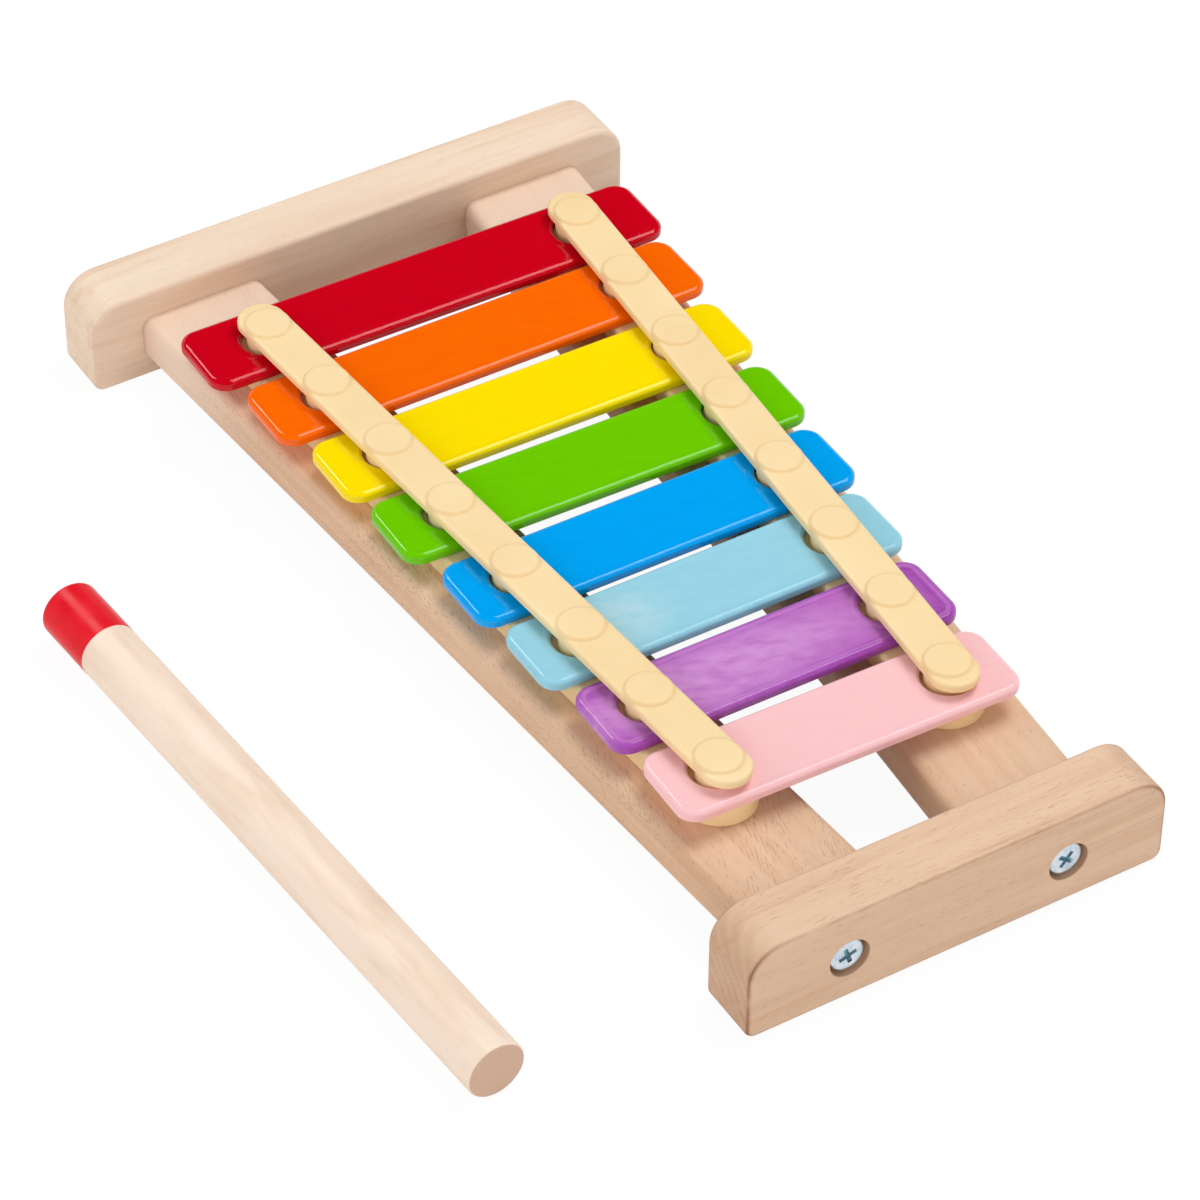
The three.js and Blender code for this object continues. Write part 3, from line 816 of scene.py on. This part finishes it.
def dipped_red():
    """Gloss red that the beater's end was dipped in, with the grain just showing through."""
    material, tree, shader = new_finish("dipped red paint")
    deep, plain, pale = DIP_TONES
    cloud = noise(tree, coordinates(tree), 120, detail=3.0)
    base = ramp(tree, cloud, (0.3, deep), (0.55, plain), (0.8, pale))
    rough = grey_ramp(tree, cloud, (0.3, 0.26), (0.7, 0.36))
    normal = bump(tree, grain(tree, DIPPED_GRAIN), strength=0.25, distance=0.05 * MM)
    dress(tree, shader, base, rough, normal, specular=0.12)
    return material


# Wooden frame.
def stepped_cutter(mesh, place, mouth_radius, depth, shank_radius, reach):
    """A counterbore with a softened mouth and the screw's hole below it, sunk along -Z."""
    profile = [
        (0, -reach),
        (shank_radius, -reach),
        (shank_radius, -depth),
        (mouth_radius, -depth),
        (mouth_radius, -COUNTERBORE_MOUTH),
        (mouth_radius + COUNTERBORE_MOUTH / 3, -COUNTERBORE_MOUTH / 3),
        (mouth_radius + COUNTERBORE_MOUTH, 0),
        (mouth_radius + 2 * COUNTERBORE_MOUTH, COUNTERBORE_MOUTH),
        (0, COUNTERBORE_MOUTH),
    ]
    add_turned(mesh, profile, COUNTERBORE_STEPS, place)


def counterbore_place(end, side):
    """The mouth of a block screw's counterbore, with +Z turned to the way that it faces."""
    low, high = BOXES[f"{end}_block_{side}_screw"]
    centre = (low + high) / 2
    outward, face = (-1, 0) if end == "far" else (1, 1)
    x = BOXES[f"{end}_end_block"][face].x
    return Matrix.Translation((x, centre.y, centre.z)) @ Matrix.Rotation(outward * QUARTER, 4, "Y")


def end_block(end, finish):
    node = f"{end}_end_block"
    low, high = BOXES[node]
    centre = (low + high) / 2
    half_x = (high.x - low.x) / 2
    half_y = (high.y - low.y) / 2
    half_z = (high.z - low.z) / 2
    radii = (BLOCK_TOP_CORNER, BLOCK_TOP_CORNER, BLOCK_LOW_CORNER, BLOCK_LOW_CORNER)
    profile = edge_profile(-half_x, half_x, BLOCK_EDGE_ROUND, BLOCK_EDGE_ROUND, steps=8)
    mesh = bmesh.new()
    plate(mesh, lambda inset: rounded_box(half_y, half_z, radii, inset), profile)
    across = Matrix(((0, 0, 1, 0), (1, 0, 0, 0), (0, 1, 0, 0), (0, 0, 0, 1)))
    place = Matrix.Translation(centre) @ across
    bmesh.ops.transform(mesh, matrix=place, verts=mesh.verts)
    thing = finished(f"{end}_block", mesh, finish, [node])
    cutters = bmesh.new()
    for side in SIDES:
        mouth = counterbore_place(end, side)
        stepped_cutter(cutters, mouth, COUNTERBORE_RADIUS, COUNTERBORE_DEPTH, SCREW_HOLE_RADIUS, 4 * half_x)
    carve(thing, cutters)
    smooth(thing, sharp=30)
    burnish_block(end, thing, centre, half_x, half_y, half_z)


def burnish_block(end, thing, centre, half_x, half_y, half_z):
    """Browns a block's rounded edges, most of all the upright ones at its ends."""
    full, least = END_BURNISH[end], TOP_BURNISH[end]
    crown = BLOCK_EDGE_ROUND * (1 - math.sqrt(0.5))

    def browned(vertex):
        across, along, up = vertex.co - centre
        depth = half_x - abs(across)
        from_end = half_y - abs(along)
        inset = min(from_end, half_z - abs(up))
        corner_y = abs(along) - half_y + BLOCK_TOP_CORNER
        corner_z = up - half_z + BLOCK_TOP_CORNER
        if corner_y > 0 and corner_z > 0:
            inset = BLOCK_TOP_CORNER - math.hypot(corner_y, corner_z)
        fade = clamped(from_end / BLOCK_TOP_CORNER)
        return clamped(min(depth, inset) / crown) * (full + (least - full) * fade)

    mark(thing, BURNISH, browned)
    mark(thing, END_GRAIN, lambda vertex: abs(vertex.normal.y))


def rail(side, finish):
    """A batten whose section is carried along X and drawn sideways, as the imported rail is."""
    node = f"{side}_rail"
    low, high = BOXES[node]
    points = corners(node)
    far_end = [point for point in points if point.x < low.x + SAME_END]
    near_end = [point for point in points if point.x > high.x - SAME_END]
    half = (max(point.y for point in far_end) - min(point.y for point in far_end)) / 2
    section = rounded_box(half, (high.z - low.z) / 2, [RAIL_ROUND] * 4, steps=8)
    mesh = bmesh.new()
    rings = []
    for x, centre in ((low.x, middle(far_end)), (high.x, middle(near_end))):
        rings.append([mesh.verts.new((x, centre.y + p.x, centre.z + p.y)) for p in section])
    bridge(mesh, *rings)
    for loop in rings:
        mesh.faces.new(loop)
    thing = finished(f"{side}_batten", mesh, finish, [node])
    under = Matrix.Rotation(math.pi, 4, "X")
    cutters = bmesh.new()
    for count in STRAP_SCREWS:
        head_low, head_high = BOXES[f"{side}_strap_screw_{count}"]
        centre = (head_low + head_high) / 2
        mouth = Matrix.Translation((centre.x, centre.y, low.z)) @ under
        depth = head_low.z + STRAP_HEAD_HEIGHT - low.z
        stepped_cutter(cutters, mouth, STRAP_COUNTERBORE_RADIUS, depth, STRAP_SCREW_HOLE_RADIUS, high.z)
    carve(thing, cutters)
    smooth(thing, sharp=30)


def wooden_frame():
    for end in ENDS:
        finish = beech(f"{end} block beech", fleck_share=FLECK_SHARES[end], turn=QUARTER, **BLOCK_WOODS[end])
        end_block(end, finish)
    for side in SIDES:
        finish = beech(
            f"{side} rail beech",
            RAIL_TONES,
            FLECK_SHARES[side],
            strap_turn(side),
            RAIL_PLACE,
            fleck_turn=FLECK_LEAN,
            pales=True,
        )
        rail(side, finish)


# Straps.
def strap_line(side):
    """A strap's first post and its direction."""
    first, last = POSTS[side][0], POSTS[side][-1]
    return first, (last - first).normalized()


def strap_turn(side):
    start, way = strap_line(side)
    return math.atan2(way.y, way.x)


def strap_place(side):
    start, way = strap_line(side)
    return Matrix.Translation((start.x, start.y, 0)) @ Matrix.Rotation(strap_turn(side), 4, "Z")


def post_spots(side):
    """How far along its strap each post is from the first."""
    start, way = strap_line(side)
    return [(place - start).dot(way) for place in POSTS[side]]


def strip_ring(start, end, radius, steps=36, between_ends=()):
    """A strip's outline about the X axis. between_ends: further points of its straight sides."""
    outline = arc(end, 0, radius, -QUARTER, QUARTER, steps)
    back = sorted((x for x in between_ends if start < x < end), reverse=True)
    outline += [Vector((x, radius)) for x in back]
    outline += arc(start, 0, radius, QUARTER, 3 * QUARTER, steps)
    outline += [Vector((x, -radius)) for x in reversed(back)]
    return outline


def strap_reach(node, side):
    """How far a strap's round ends are centred before its first post and past its last, and its
    half width."""
    start, way = strap_line(side)
    across = Vector((-way.y, way.x))
    flat = [point.to_2d() - start for point in corners(node)]
    half = max(point.dot(across) for point in flat)
    low = min(point.dot(way) for point in flat)
    high = max(point.dot(way) for point in flat)
    return low + half, high - half, half


def cushion_strap(side, finish):
    node = f"{side}_cushion_strap"
    first, last, half = strap_reach(node, side)
    low, high = BOXES[node]
    profile = edge_profile(low.z, high.z, CUSHION_ROUND / 2, CUSHION_ROUND, steps=6)
    mesh = bmesh.new()
    plate(mesh, lambda inset: strip_ring(first, last, half - inset), profile)
    finished(f"{side}_cushion", mesh, finish, [node], strap_place(side))


def disc_rise(x, y, spots):
    """Height of the discs above the strap at a point: low buttons whose rims roll down to it."""
    nearest = min(math.hypot(x - spot, y) for spot in spots)
    share = clamped((DISC_RADIUS - nearest) / DISC_SLOPE)
    crown = 1 - DISC_CROWN_SHARE * (nearest / DISC_RADIUS) ** 2
    return DISC_HEIGHT * crown * (1 - (1 - share) ** 2) ** DISC_ROLL


def along_sides(spots):
    """Where the sides of a strap are divided: finely beside its discs, else coarsely."""
    reach = DISC_RADIUS + STRAP_COARSE
    places = []
    for spot in spots:
        count = round(2 * reach / STRAP_FINE)
        places += [spot - reach + 2 * reach * step / count for step in range(count + 1)]
    for spot, after in zip(spots, spots[1:]):
        start = spot + reach
        gap = after - reach - start
        count = round(gap / STRAP_COARSE)
        places += [start + gap * step / count for step in range(1, count)]
    return places


def top_strap(side, finish):
    """The strap and its discs are one soft surface over outlines that shrink to its middle line."""
    node = f"{side}_top_strap"
    first, last, half = strap_reach(node, side)
    spots = post_spots(side)
    levels = edge_profile(STRAP_LOW, STRAP_TOP, STRAP_LOW_ROUND, STRAP_TOP_ROUND, steps=5)
    flat_width = half - STRAP_TOP_ROUND
    for share in range(1, STRAP_RINGS + 1):
        levels.append((STRAP_TOP_ROUND + flat_width * share / STRAP_RINGS, STRAP_TOP))
    places = along_sides(spots)
    mesh = bmesh.new()
    rings = []
    for inset, height in levels:
        up_the_edge = (height - STRAP_LOW) / STRAP_THICKNESS
        loop = []
        for point in strip_ring(first, last, half - inset, STRAP_END_STEPS, places):
            rise = disc_rise(point.x, point.y, spots) * up_the_edge
            loop.append(mesh.verts.new((point.x, point.y, height + rise)))
        rings.append(loop)
    for lower, upper in zip(rings, rings[1:]):
        bridge(mesh, lower, upper)
    fill(mesh, [rings[0]])
    for spot in spots:
        post(mesh, spot)
    thing = finished(f"{side}_strap", mesh, finish, [node], strap_place(side))

    # Painted shade along the foot of each disc.
    def foot_shaded(vertex):
        if vertex.co.z <= STRAP_LOW + STRAP_THICKNESS / 2:
            return 0
        nearest = min((vertex.co.to_2d() - axis).length for axis in POSTS[side])
        return stripe((nearest - DISC_RADIUS + DISC_SLOPE / 4) / DISC_FOOT_SHADE_REACH)

    mark(thing, DISC_FOOT_SHADE, foot_shaded)


def post(mesh, spot):
    """A post below the strap, with a small fillet at its root and an eased foot."""
    turns = [step / POST_ROUND_STEPS * QUARTER for step in range(POST_ROUND_STEPS + 1)]
    profile = [(0, BAR_LOW)]
    for turn in turns:
        radius = POST_RADIUS - POST_LOW_ROUND * (1 - math.sin(turn))
        profile.append((radius, BAR_LOW + POST_LOW_ROUND * (1 - math.cos(turn))))
    for turn in turns:
        radius = POST_RADIUS + POST_FILLET * (1 - math.cos(turn))
        profile.append((radius, STRAP_LOW - POST_FILLET * (1 - math.sin(turn))))
    profile.append((POST_RADIUS + POST_FILLET, STRAP_LOW + POST_ROOT))
    profile.append((0, STRAP_LOW + POST_ROOT))
    add_turned(mesh, profile, POST_STEPS, Matrix.Translation((spot, 0, 0)))


def straps():
    cream = moulded_cream()
    for side in SIDES:
        cushion_strap(side, cream)
        top_strap(side, cream)


# Bars.
def bar(name, finish):
    node = f"{name}_bar"
    centre, turn, half_length, half_width = lie_of(node)
    left, right = [POSTS[side][COLOURS.index(name)] for side in SIDES]
    post_half = (right - left).length / 2
    hole_middles = (-post_half, post_half)
    flat_top = BAR_TOP - PAINT_BEAD
    edge = with_bead(edge_profile(BAR_LOW, flat_top, BAR_LOW_ROUND, BAR_TOP_ROUND, steps=6), BAR_TOP_ROUND)
    hole_edge = with_bead(edge_profile(BAR_LOW, flat_top, BAR_LOW_ROUND, HOLE_ROUND, steps=6), HOLE_ROUND)
    holes = [lambda inset, x=x: circle(x, 0, HOLE_RADIUS + inset, HOLE_STEPS) for x in hole_middles]

    def outline(inset):
        return rounded_box(half_length, half_width, [BAR_CORNER] * 4, inset, steps=10)

    mesh = bmesh.new()
    plate(mesh, outline, edge, holes, hole_edge)
    place = Matrix.Translation((centre.x, centre.y, 0)) @ Matrix.Rotation(turn, 4, "Z")
    thing = finished(f"{name}_plate", mesh, finish, [node], place, sharp=40, body=node)
    back = place.inverted()

    # Where a highlight is painted along the inner slope of the bead, on the bars that carry one.
    def bead_highlighted(vertex):
        local = back @ vertex.co
        if local.z <= BAR_TOP - BAR_TOP_ROUND:
            return 0
        inset = box_inset(local.x, local.y, half_length, half_width, BAR_CORNER)
        for x in hole_middles:
            inset = min(inset, math.hypot(local.x - x, local.y) - HOLE_RADIUS)
        return stripe((inset - BEAD_HIGHLIGHT_INSET) / BEAD_HIGHLIGHT_REACH)

    mark(thing, BEAD_HIGHLIGHT, bead_highlighted)


def box_inset(x, y, half_x, half_y, corner):
    """How far inside the outline of a box with round corners a point lies."""
    over_x = abs(x) - half_x + corner
    over_y = abs(y) - half_y + corner
    if over_x > 0 and over_y > 0:
        return corner - math.hypot(over_x, over_y)
    return min(half_x - abs(x), half_y - abs(y))


def with_bead(profile, rounding):
    """Adds the low bead of paint along an edge, which slopes down inwards to the flat."""
    top = profile[-1][1]
    result = profile[:-1]
    for step in range(PAINT_BEAD_STEPS + 1):
        share = step / PAINT_BEAD_STEPS
        rise = PAINT_BEAD * 0.5 * (1 + math.cos(math.pi * share))
        result.append((rounding + share * PAINT_BEAD_WIDTH, top + rise))
    return result


def bars():
    for number, name in enumerate(COLOURS, start=1):
        bar(name, gloss_paint(name, number))


# Screws.
def screw_tree():
    """Geometry Nodes: a cross-head screw on every point, turned to the point's facing."""
    tree = bpy.data.node_groups.new("cross-head screws", "GeometryNodeTree")
    face = tree.interface
    face.new_socket("Geometry", in_out="INPUT", socket_type="NodeSocketGeometry")
    for size in (*BLOCK_SCREW, "Length"):
        face.new_socket(size, in_out="INPUT", socket_type="NodeSocketFloat")
    face.new_socket("Finish", in_out="INPUT", socket_type="NodeSocketMaterial")
    face.new_socket("Geometry", in_out="OUTPUT", socket_type="NodeSocketGeometry")
    given = put(tree, "NodeGroupInput", {}).outputs
    whole = put(tree, "GeometryNodeJoinGeometry", {})
    tree.links.new(crossed_head(tree, given), whole.inputs[0])
    tree.links.new(screw_shank(tree, given), whole.inputs[0])
    inputs = {"Points": given["Geometry"], "Instance": whole.outputs[0], "Rotation": screw_turn(tree)}
    copies = put(tree, "GeometryNodeInstanceOnPoints", inputs)
    real = put(tree, "GeometryNodeRealizeInstances", {"Geometry": copies.outputs[0]})
    inputs = {"Geometry": real.outputs[0], "Material": given["Finish"]}
    coated = put(tree, "GeometryNodeSetMaterial", inputs)
    put(tree, "NodeGroupOutput", {0: coated.outputs[0]})
    return tree


def crossed_head(tree, given):
    inputs = {
        "Mesh 1": screw_head(tree, given),
        "Mesh 2": screw_recess(tree, given),
        "Self Intersection": True,
    }
    cut = put(tree, "GeometryNodeMeshBoolean", inputs, operation="DIFFERENCE", solver="EXACT")
    return cut.outputs["Mesh"]


def screw_turn(tree):
    """Takes +Z to a point's facing, after the spin of its cross."""
    named = "GeometryNodeInputNamedAttribute"
    facing = put(tree, named, {"Name": "facing"}, data_type="FLOAT_VECTOR").outputs[0]
    spin = put(tree, named, {"Name": "spin"}, data_type="FLOAT").outputs[0]
    turn = put(tree, "FunctionNodeAlignRotationToVector", {"Vector": facing}, axis="Z").outputs[0]
    about = put(tree, "FunctionNodeAxisAngleToRotation", {"Axis": (0, 0, 1), "Angle": spin}).outputs[0]
    inputs = {"Rotation": turn, "Rotate By": about}
    return put(tree, "FunctionNodeRotateRotation", inputs, rotation_space="LOCAL").outputs[0]


def from_axis(tree):
    """Where a mesh's points lie across the Z axis, and their three coordinates."""
    parts = parts_of(tree, put(tree, "GeometryNodeInputPosition", {}).outputs[0])
    return vector(tree, parts[0], parts[1]), parts


def moved(tree, geometry, **how):
    """how: the Translation, Rotation or Scale."""
    return put(tree, "GeometryNodeTransform", {"Geometry": geometry, **how}).outputs[0]


def drawn_in(tree, geometry, flat, share, height):
    """Scales a mesh's points across the Z axis and sets their height."""
    scaled = put(tree, "ShaderNodeVectorMath", {0: flat, "Scale": share}, operation="SCALE").outputs[0]
    parts = parts_of(tree, scaled)
    inputs = {"Geometry": geometry, "Position": vector(tree, parts[0], parts[1], height)}
    return put(tree, "GeometryNodeSetPosition", inputs).outputs[0]


def screw_head(tree, given):
    """Pan head: flat below, with a domed top that rolls over to an upright rim."""
    inputs = {
        "Vertices": 64,
        "Side Segments": 8,
        "Fill Segments": 12,
        "Radius": given["Head Radius"],
        "Depth": given["Head Height"],
    }
    disc = put(tree, "GeometryNodeMeshCylinder", inputs).outputs["Mesh"]
    lifted = moved(tree, disc, Translation=vector(tree, z=product(tree, given["Head Height"], 0.5)))
    flat, parts = from_axis(tree)
    outward = maths(tree, "DIVIDE", length_of(tree, flat), given["Head Radius"])
    roll = maths(tree, "POWER", outward, HEAD_ROLL)
    height = product(tree, parts[2], remainder(tree, product(tree, roll, HEAD_DROP_SHARE)))
    upward = maths(tree, "DIVIDE", height, given["Head Height"])
    tuck = product(tree, maths(tree, "POWER", upward, HEAD_TUCK), HEAD_TUCK_SHARE)
    return drawn_in(tree, lifted, flat, remainder(tree, tuck), height)


def screw_shank(tree, given):
    """Shank with a thread that winds down to a point."""
    inputs = {
        "Vertices": 20,
        "Side Segments": 90,
        "Radius": given["Shank Radius"],
        "Depth": given["Length"],
    }
    rod = put(tree, "GeometryNodeMeshCylinder", inputs).outputs["Mesh"]
    lowered = moved(tree, rod, Translation=vector(tree, z=product(tree, given["Length"], -0.5)))
    flat, parts = from_axis(tree)
    bearing = maths(tree, "ARCTAN2", parts[1], parts[0])
    turns = maths(tree, "DIVIDE", parts[2], given["Thread Pitch"])
    winding = maths(tree, "SUBTRACT", product(tree, turns, 2 * math.pi), bearing)
    wave = maths(tree, "ABSOLUTE", maths(tree, "COSINE", product(tree, winding, 0.5)))
    ridge = maths(tree, "POWER", wave, THREAD_KEENNESS)
    depth = maths(tree, "DIVIDE", given["Thread Depth"], given["Shank Radius"])
    swell = maths(tree, "ADD", 1.0, product(tree, ridge, depth))
    from_tip = maths(tree, "DIVIDE", maths(tree, "ADD", parts[2], given["Length"]), TIP_LENGTH)
    taper = maths(tree, "MINIMUM", maths(tree, "ADD", from_tip, TIP_SHARE), 1.0)
    return drawn_in(tree, lowered, flat, product(tree, swell, taper), parts[2])


def screw_recess(tree, given):
    """The cutter of the cross: two wings that narrow downwards."""
    span = product(tree, given["Recess Span"], math.sqrt(0.5))
    cone = {
        "Vertices": 4,
        "Radius Top": span,
        "Radius Bottom": product(tree, span, RECESS_DRAFT_SHARE),
        "Depth": product(tree, given["Recess Depth"], RECESS_OVERRUN),
    }
    slimness = maths(tree, "DIVIDE", given["Recess Width"], given["Recess Span"])
    sink = maths(tree, "SUBTRACT", given["Head Height"], given["Recess Depth"])
    wings = put(tree, "GeometryNodeJoinGeometry", {})
    for turn in (0, QUARTER):
        wing = put(tree, "GeometryNodeMeshCone", cone).outputs["Mesh"]
        squared = moved(tree, wing, Rotation=(0, 0, QUARTER / 2))
        slim = moved(
            tree,
            squared,
            Translation=vector(tree, z=sink),
            Rotation=(0, 0, turn),
            Scale=vector(tree, 1.0, slimness, 1.0),
        )
        tree.links.new(slim, wings.inputs[0])
    return wings.outputs[0]


def screws(name, tree, sizes, length, spots, finish, stands_for):
    """spots: (where a head stands, the way that it faces, its turn about that)."""
    points = bpy.data.meshes.new(f"{name} places")
    points.from_pydata([where for where, facing, spin in spots], [], [])
    points.attributes.new("facing", "FLOAT_VECTOR", "POINT")
    points.attributes.new("spin", "FLOAT", "POINT")
    for number, (where, facing, spin) in enumerate(spots):
        points.attributes["facing"].data[number].vector = facing
        points.attributes["spin"].data[number].value = spin
    thing = shown(name, points)
    maker = thing.modifiers.new("screws", "NODES")
    maker.node_group = tree
    given = {**sizes, "Length": length, "Finish": finish}
    for socket in tree.interface.items_tree:
        if socket.in_out == "INPUT" and socket.name in given:
            maker[socket.identifier] = given[socket.name]
    settle(thing)
    smooth(thing, sharp=40)
    shade_recesses(thing, sizes, spots)
    declare(thing, BODY, stands_for)


def shade_recesses(thing, sizes, spots):
    reach = sizes["Recess Span"] / 2 * RECESS_MARGIN

    def sunk(vertex):
        """How deep a point of a head lies in its cross."""
        where, facing = min(spots, key=lambda spot: (vertex.co - spot[0]).length)[:2]
        offset = vertex.co - where
        level = offset.dot(facing)
        aside = (offset - facing * level).length
        if level <= RECESS_FLOOR or aside >= reach:
            return 0
        return clamped((sizes["Head Height"] - level) / sizes["Recess Depth"])

    # The shade painted in each cross.
    mark(thing, RECESS_SHADE, sunk)


def head_seat(node):
    """Where a screw's head stands in its counterbore, the way it faces, and its shank's length."""
    low, high = BOXES[node]
    centre = (low + high) / 2
    if "strap" in node:
        seat = low.z + STRAP_HEAD_HEIGHT
        return Vector((centre.x, centre.y, seat)), Vector((0, 0, -1)), high.z - seat
    if node.startswith("far"):
        seat = low.x + BLOCK_HEAD_HEIGHT
        return Vector((seat, centre.y, centre.z)), Vector((-1, 0, 0)), high.x - seat
    seat = high.x - BLOCK_HEAD_HEIGHT
    return Vector((seat, centre.y, centre.z)), Vector((1, 0, 0)), seat - low.x


def screw_sets():
    """The four screws of the end blocks, and the eight that hold the straps."""
    zinc = bright_zinc()
    tree = screw_tree()
    block_spins = {f"{end}_block_{side}_screw": HEAD_TURNS[side] for end in ENDS for side in SIDES}
    strap_spins = {
        f"{side}_strap_screw_{count}": count * STRAP_HEAD_TURN for side in SIDES for count in STRAP_SCREWS
    }
    for name, sizes, spins in (
        ("block_screws", BLOCK_SCREW, block_spins),
        ("strap_screws", STRAP_SCREW, strap_spins),
    ):
        spots = []
        for node, spin in spins.items():
            where, facing, length = head_seat(node)
            spots.append((where, facing, spin))
        screws(name, tree, sizes, length, spots, zinc, list(spins))


# Beater.
def beater():
    centre, turn, half_length = lie_of("beater")[:3]
    radius = centre.z
    lying = Matrix.Rotation(QUARTER, 4, "Y")
    place = Matrix.Translation(centre) @ Matrix.Rotation(turn, 4, "Z") @ lying
    paint_end = DIPPED_LENGTH - half_length
    wood_radius = radius - PAINT_COAT
    dowel = [(0, paint_end - DOWEL_LAP), (wood_radius, paint_end - DOWEL_LAP)]
    dowel.append((wood_radius, paint_end + DOWEL_BARE_START))
    dowel += [(wood_radius, share * half_length) for share in DOWEL_RING_SHARES]
    dowel += eased_end(wood_radius, half_length, BEATER_ROUND)
    mesh = bmesh.new()
    turned(mesh, dowel, DOWEL_STEPS)
    wood = dowel_beech(turn, centre)
    stick = finished("beater_dowel", mesh, wood, ["beater"], place, sharp=50, body="beater")
    along = Vector((math.cos(turn), math.sin(turn), 0))
    face = half_length - BEATER_ROUND / 4
    mark(stick, END_GRAIN, lambda vertex: (vertex.co - centre).dot(along) > face)
    cap = [(r, -z) for r, z in reversed(eased_end(radius, half_length, DIP_ROUND))]
    cap.append((radius, paint_end - PAINT_EDGE))
    cap.append((radius - PAINT_EDGE_ROUND, paint_end - PAINT_EDGE_ROUND))
    cap += [(wood_radius - PAINT_GRIP, paint_end), (0, paint_end)]
    mesh = bmesh.new()
    turned(mesh, cap, DOWEL_STEPS)
    finished("beater_dip", mesh, dipped_red(), (), place, sharp=50, body="beater")


def eased_end(radius, end, rounding, steps=6):
    """The rounded rim and the flat face of a dowel's end, out to in."""
    profile = []
    for step in range(steps + 1):
        turn = step / steps * QUARTER
        profile.append((radius - rounding * (1 - math.cos(turn)), end - rounding * (1 - math.sin(turn))))
    return profile + [(radius * share, end) for share in (0.6, 0.3, 0)]


# Floor, lamps and camera.
def level_square(name, half, height, material):
    data = bpy.data.meshes.new(name)
    spots = [(-half, -half), (half, -half), (half, half), (-half, half)]
    data.from_pydata([(x, y, height) for x, y in spots], [], [(0, 1, 2, 3)])
    data.materials.append(material)
    return shown(name, data)


def matt_finish(name, shade):
    material, tree, shader = new_finish(name)
    shader.inputs["Base Color"].default_value = grey(shade)
    shader.inputs["Roughness"].default_value = 1.0
    shader.inputs["Specular IOR Level"].default_value = 0.0
    return material, tree, shader


def floor():
    """A pale floor that the camera sees as white, with the object's shadow on it."""
    material, tree, shader = matt_finish("pale floor", FLOOR_BOUNCE)
    seen = seen_directly(tree)
    tone = mixed(tree, seen, grey(FLOOR_BOUNCE), grey(FLOOR_SHADOW))
    tree.links.new(tone, shader.inputs["Base Color"])
    shader.inputs["Emission Color"].default_value = grey(1)
    glow = product(tree, seen, 1 - FLOOR_LIGHT * FLOOR_SHADOW)
    tree.links.new(glow, shader.inputs["Emission Strength"])
    level_square("floor", FLOOR_HALF, FLOOR_LEVEL, material)


def seen_directly(tree):
    """1 for rays from the camera and for those that a mirror or a lens sends on, else 0."""
    path = put(tree, "ShaderNodeLightPath", {}).outputs
    mirrored = maths(tree, "MAXIMUM", path["Is Glossy Ray"], path["Is Transmission Ray"])
    return maths(tree, "MAXIMUM", path["Is Camera Ray"], mirrored)


def ceiling():
    """A dark ceiling that only gloss shows, as in a studio whose floor alone is pale."""
    material = matt_finish("dark ceiling", CEILING_SHADE)[0]
    thing = level_square("ceiling", CEILING_HALF, CEILING_HEIGHT, material)
    for kind in ("camera", "diffuse", "transmission", "volume_scatter", "shadow"):
        setattr(thing, f"visible_{kind}", False)


def studio():
    world = bpy.data.worlds.new("studio")
    bpy.context.scene.world = world
    world.use_nodes = True
    tree = world.node_tree
    sky = tree.nodes["Background"]
    sky.inputs["Color"].default_value = grey(1)
    inputs = {"Value": seen_directly(tree), "To Min": SKY_LIGHT, "To Max": 1.0}
    strength = put(tree, "ShaderNodeMapRange", inputs)
    tree.links.new(strength.outputs[0], sky.inputs["Strength"])


def lamp(name, direction, distance, size, power, in_gloss, on_matt):
    data = bpy.data.lights.new(name, "AREA")
    data.shape = "SQUARE"
    data.size = size
    data.energy = power
    thing = shown(name, data)
    thing.visible_glossy = in_gloss
    thing.visible_diffuse = on_matt
    way = Vector(direction).normalized()
    thing.location = CAMERA_AIM + way * distance
    thing.rotation_mode = "QUATERNION"
    thing.rotation_quaternion = (-way).to_track_quat("-Z", "Y")


def camera():
    data = bpy.data.cameras.new("camera")
    data.sensor_fit = "HORIZONTAL"
    data.sensor_width = SENSOR_WIDTH
    data.lens = CAMERA_LENS
    data.clip_start = NEAREST_SEEN
    data.clip_end = FARTHEST_SEEN
    azimuth = math.radians(CAMERA_AZIMUTH)
    elevation = math.radians(CAMERA_ELEVATION)
    level = math.cos(elevation)
    back = Vector((math.sin(azimuth) * level, -math.cos(azimuth) * level, math.sin(elevation)))
    right = Vector((math.cos(azimuth), math.sin(azimuth), 0))
    up = back.cross(right)
    turn = Matrix((right, up, back)).transposed() @ Matrix.Rotation(math.radians(CAMERA_ROLL), 3, "Z")
    thing = shown("camera", data)
    thing.matrix_world = Matrix.Translation(CAMERA_AIM + back * CAMERA_DISTANCE) @ turn.to_4x4()
    bpy.context.scene.camera = thing


wooden_frame()
straps()
bars()
screw_sets()
beater()
floor()
ceiling()
studio()
for name, settings in LAMPS.items():
    lamp(name, *settings)
camera()
bpy.context.scene.view_settings.view_transform = "Standard"
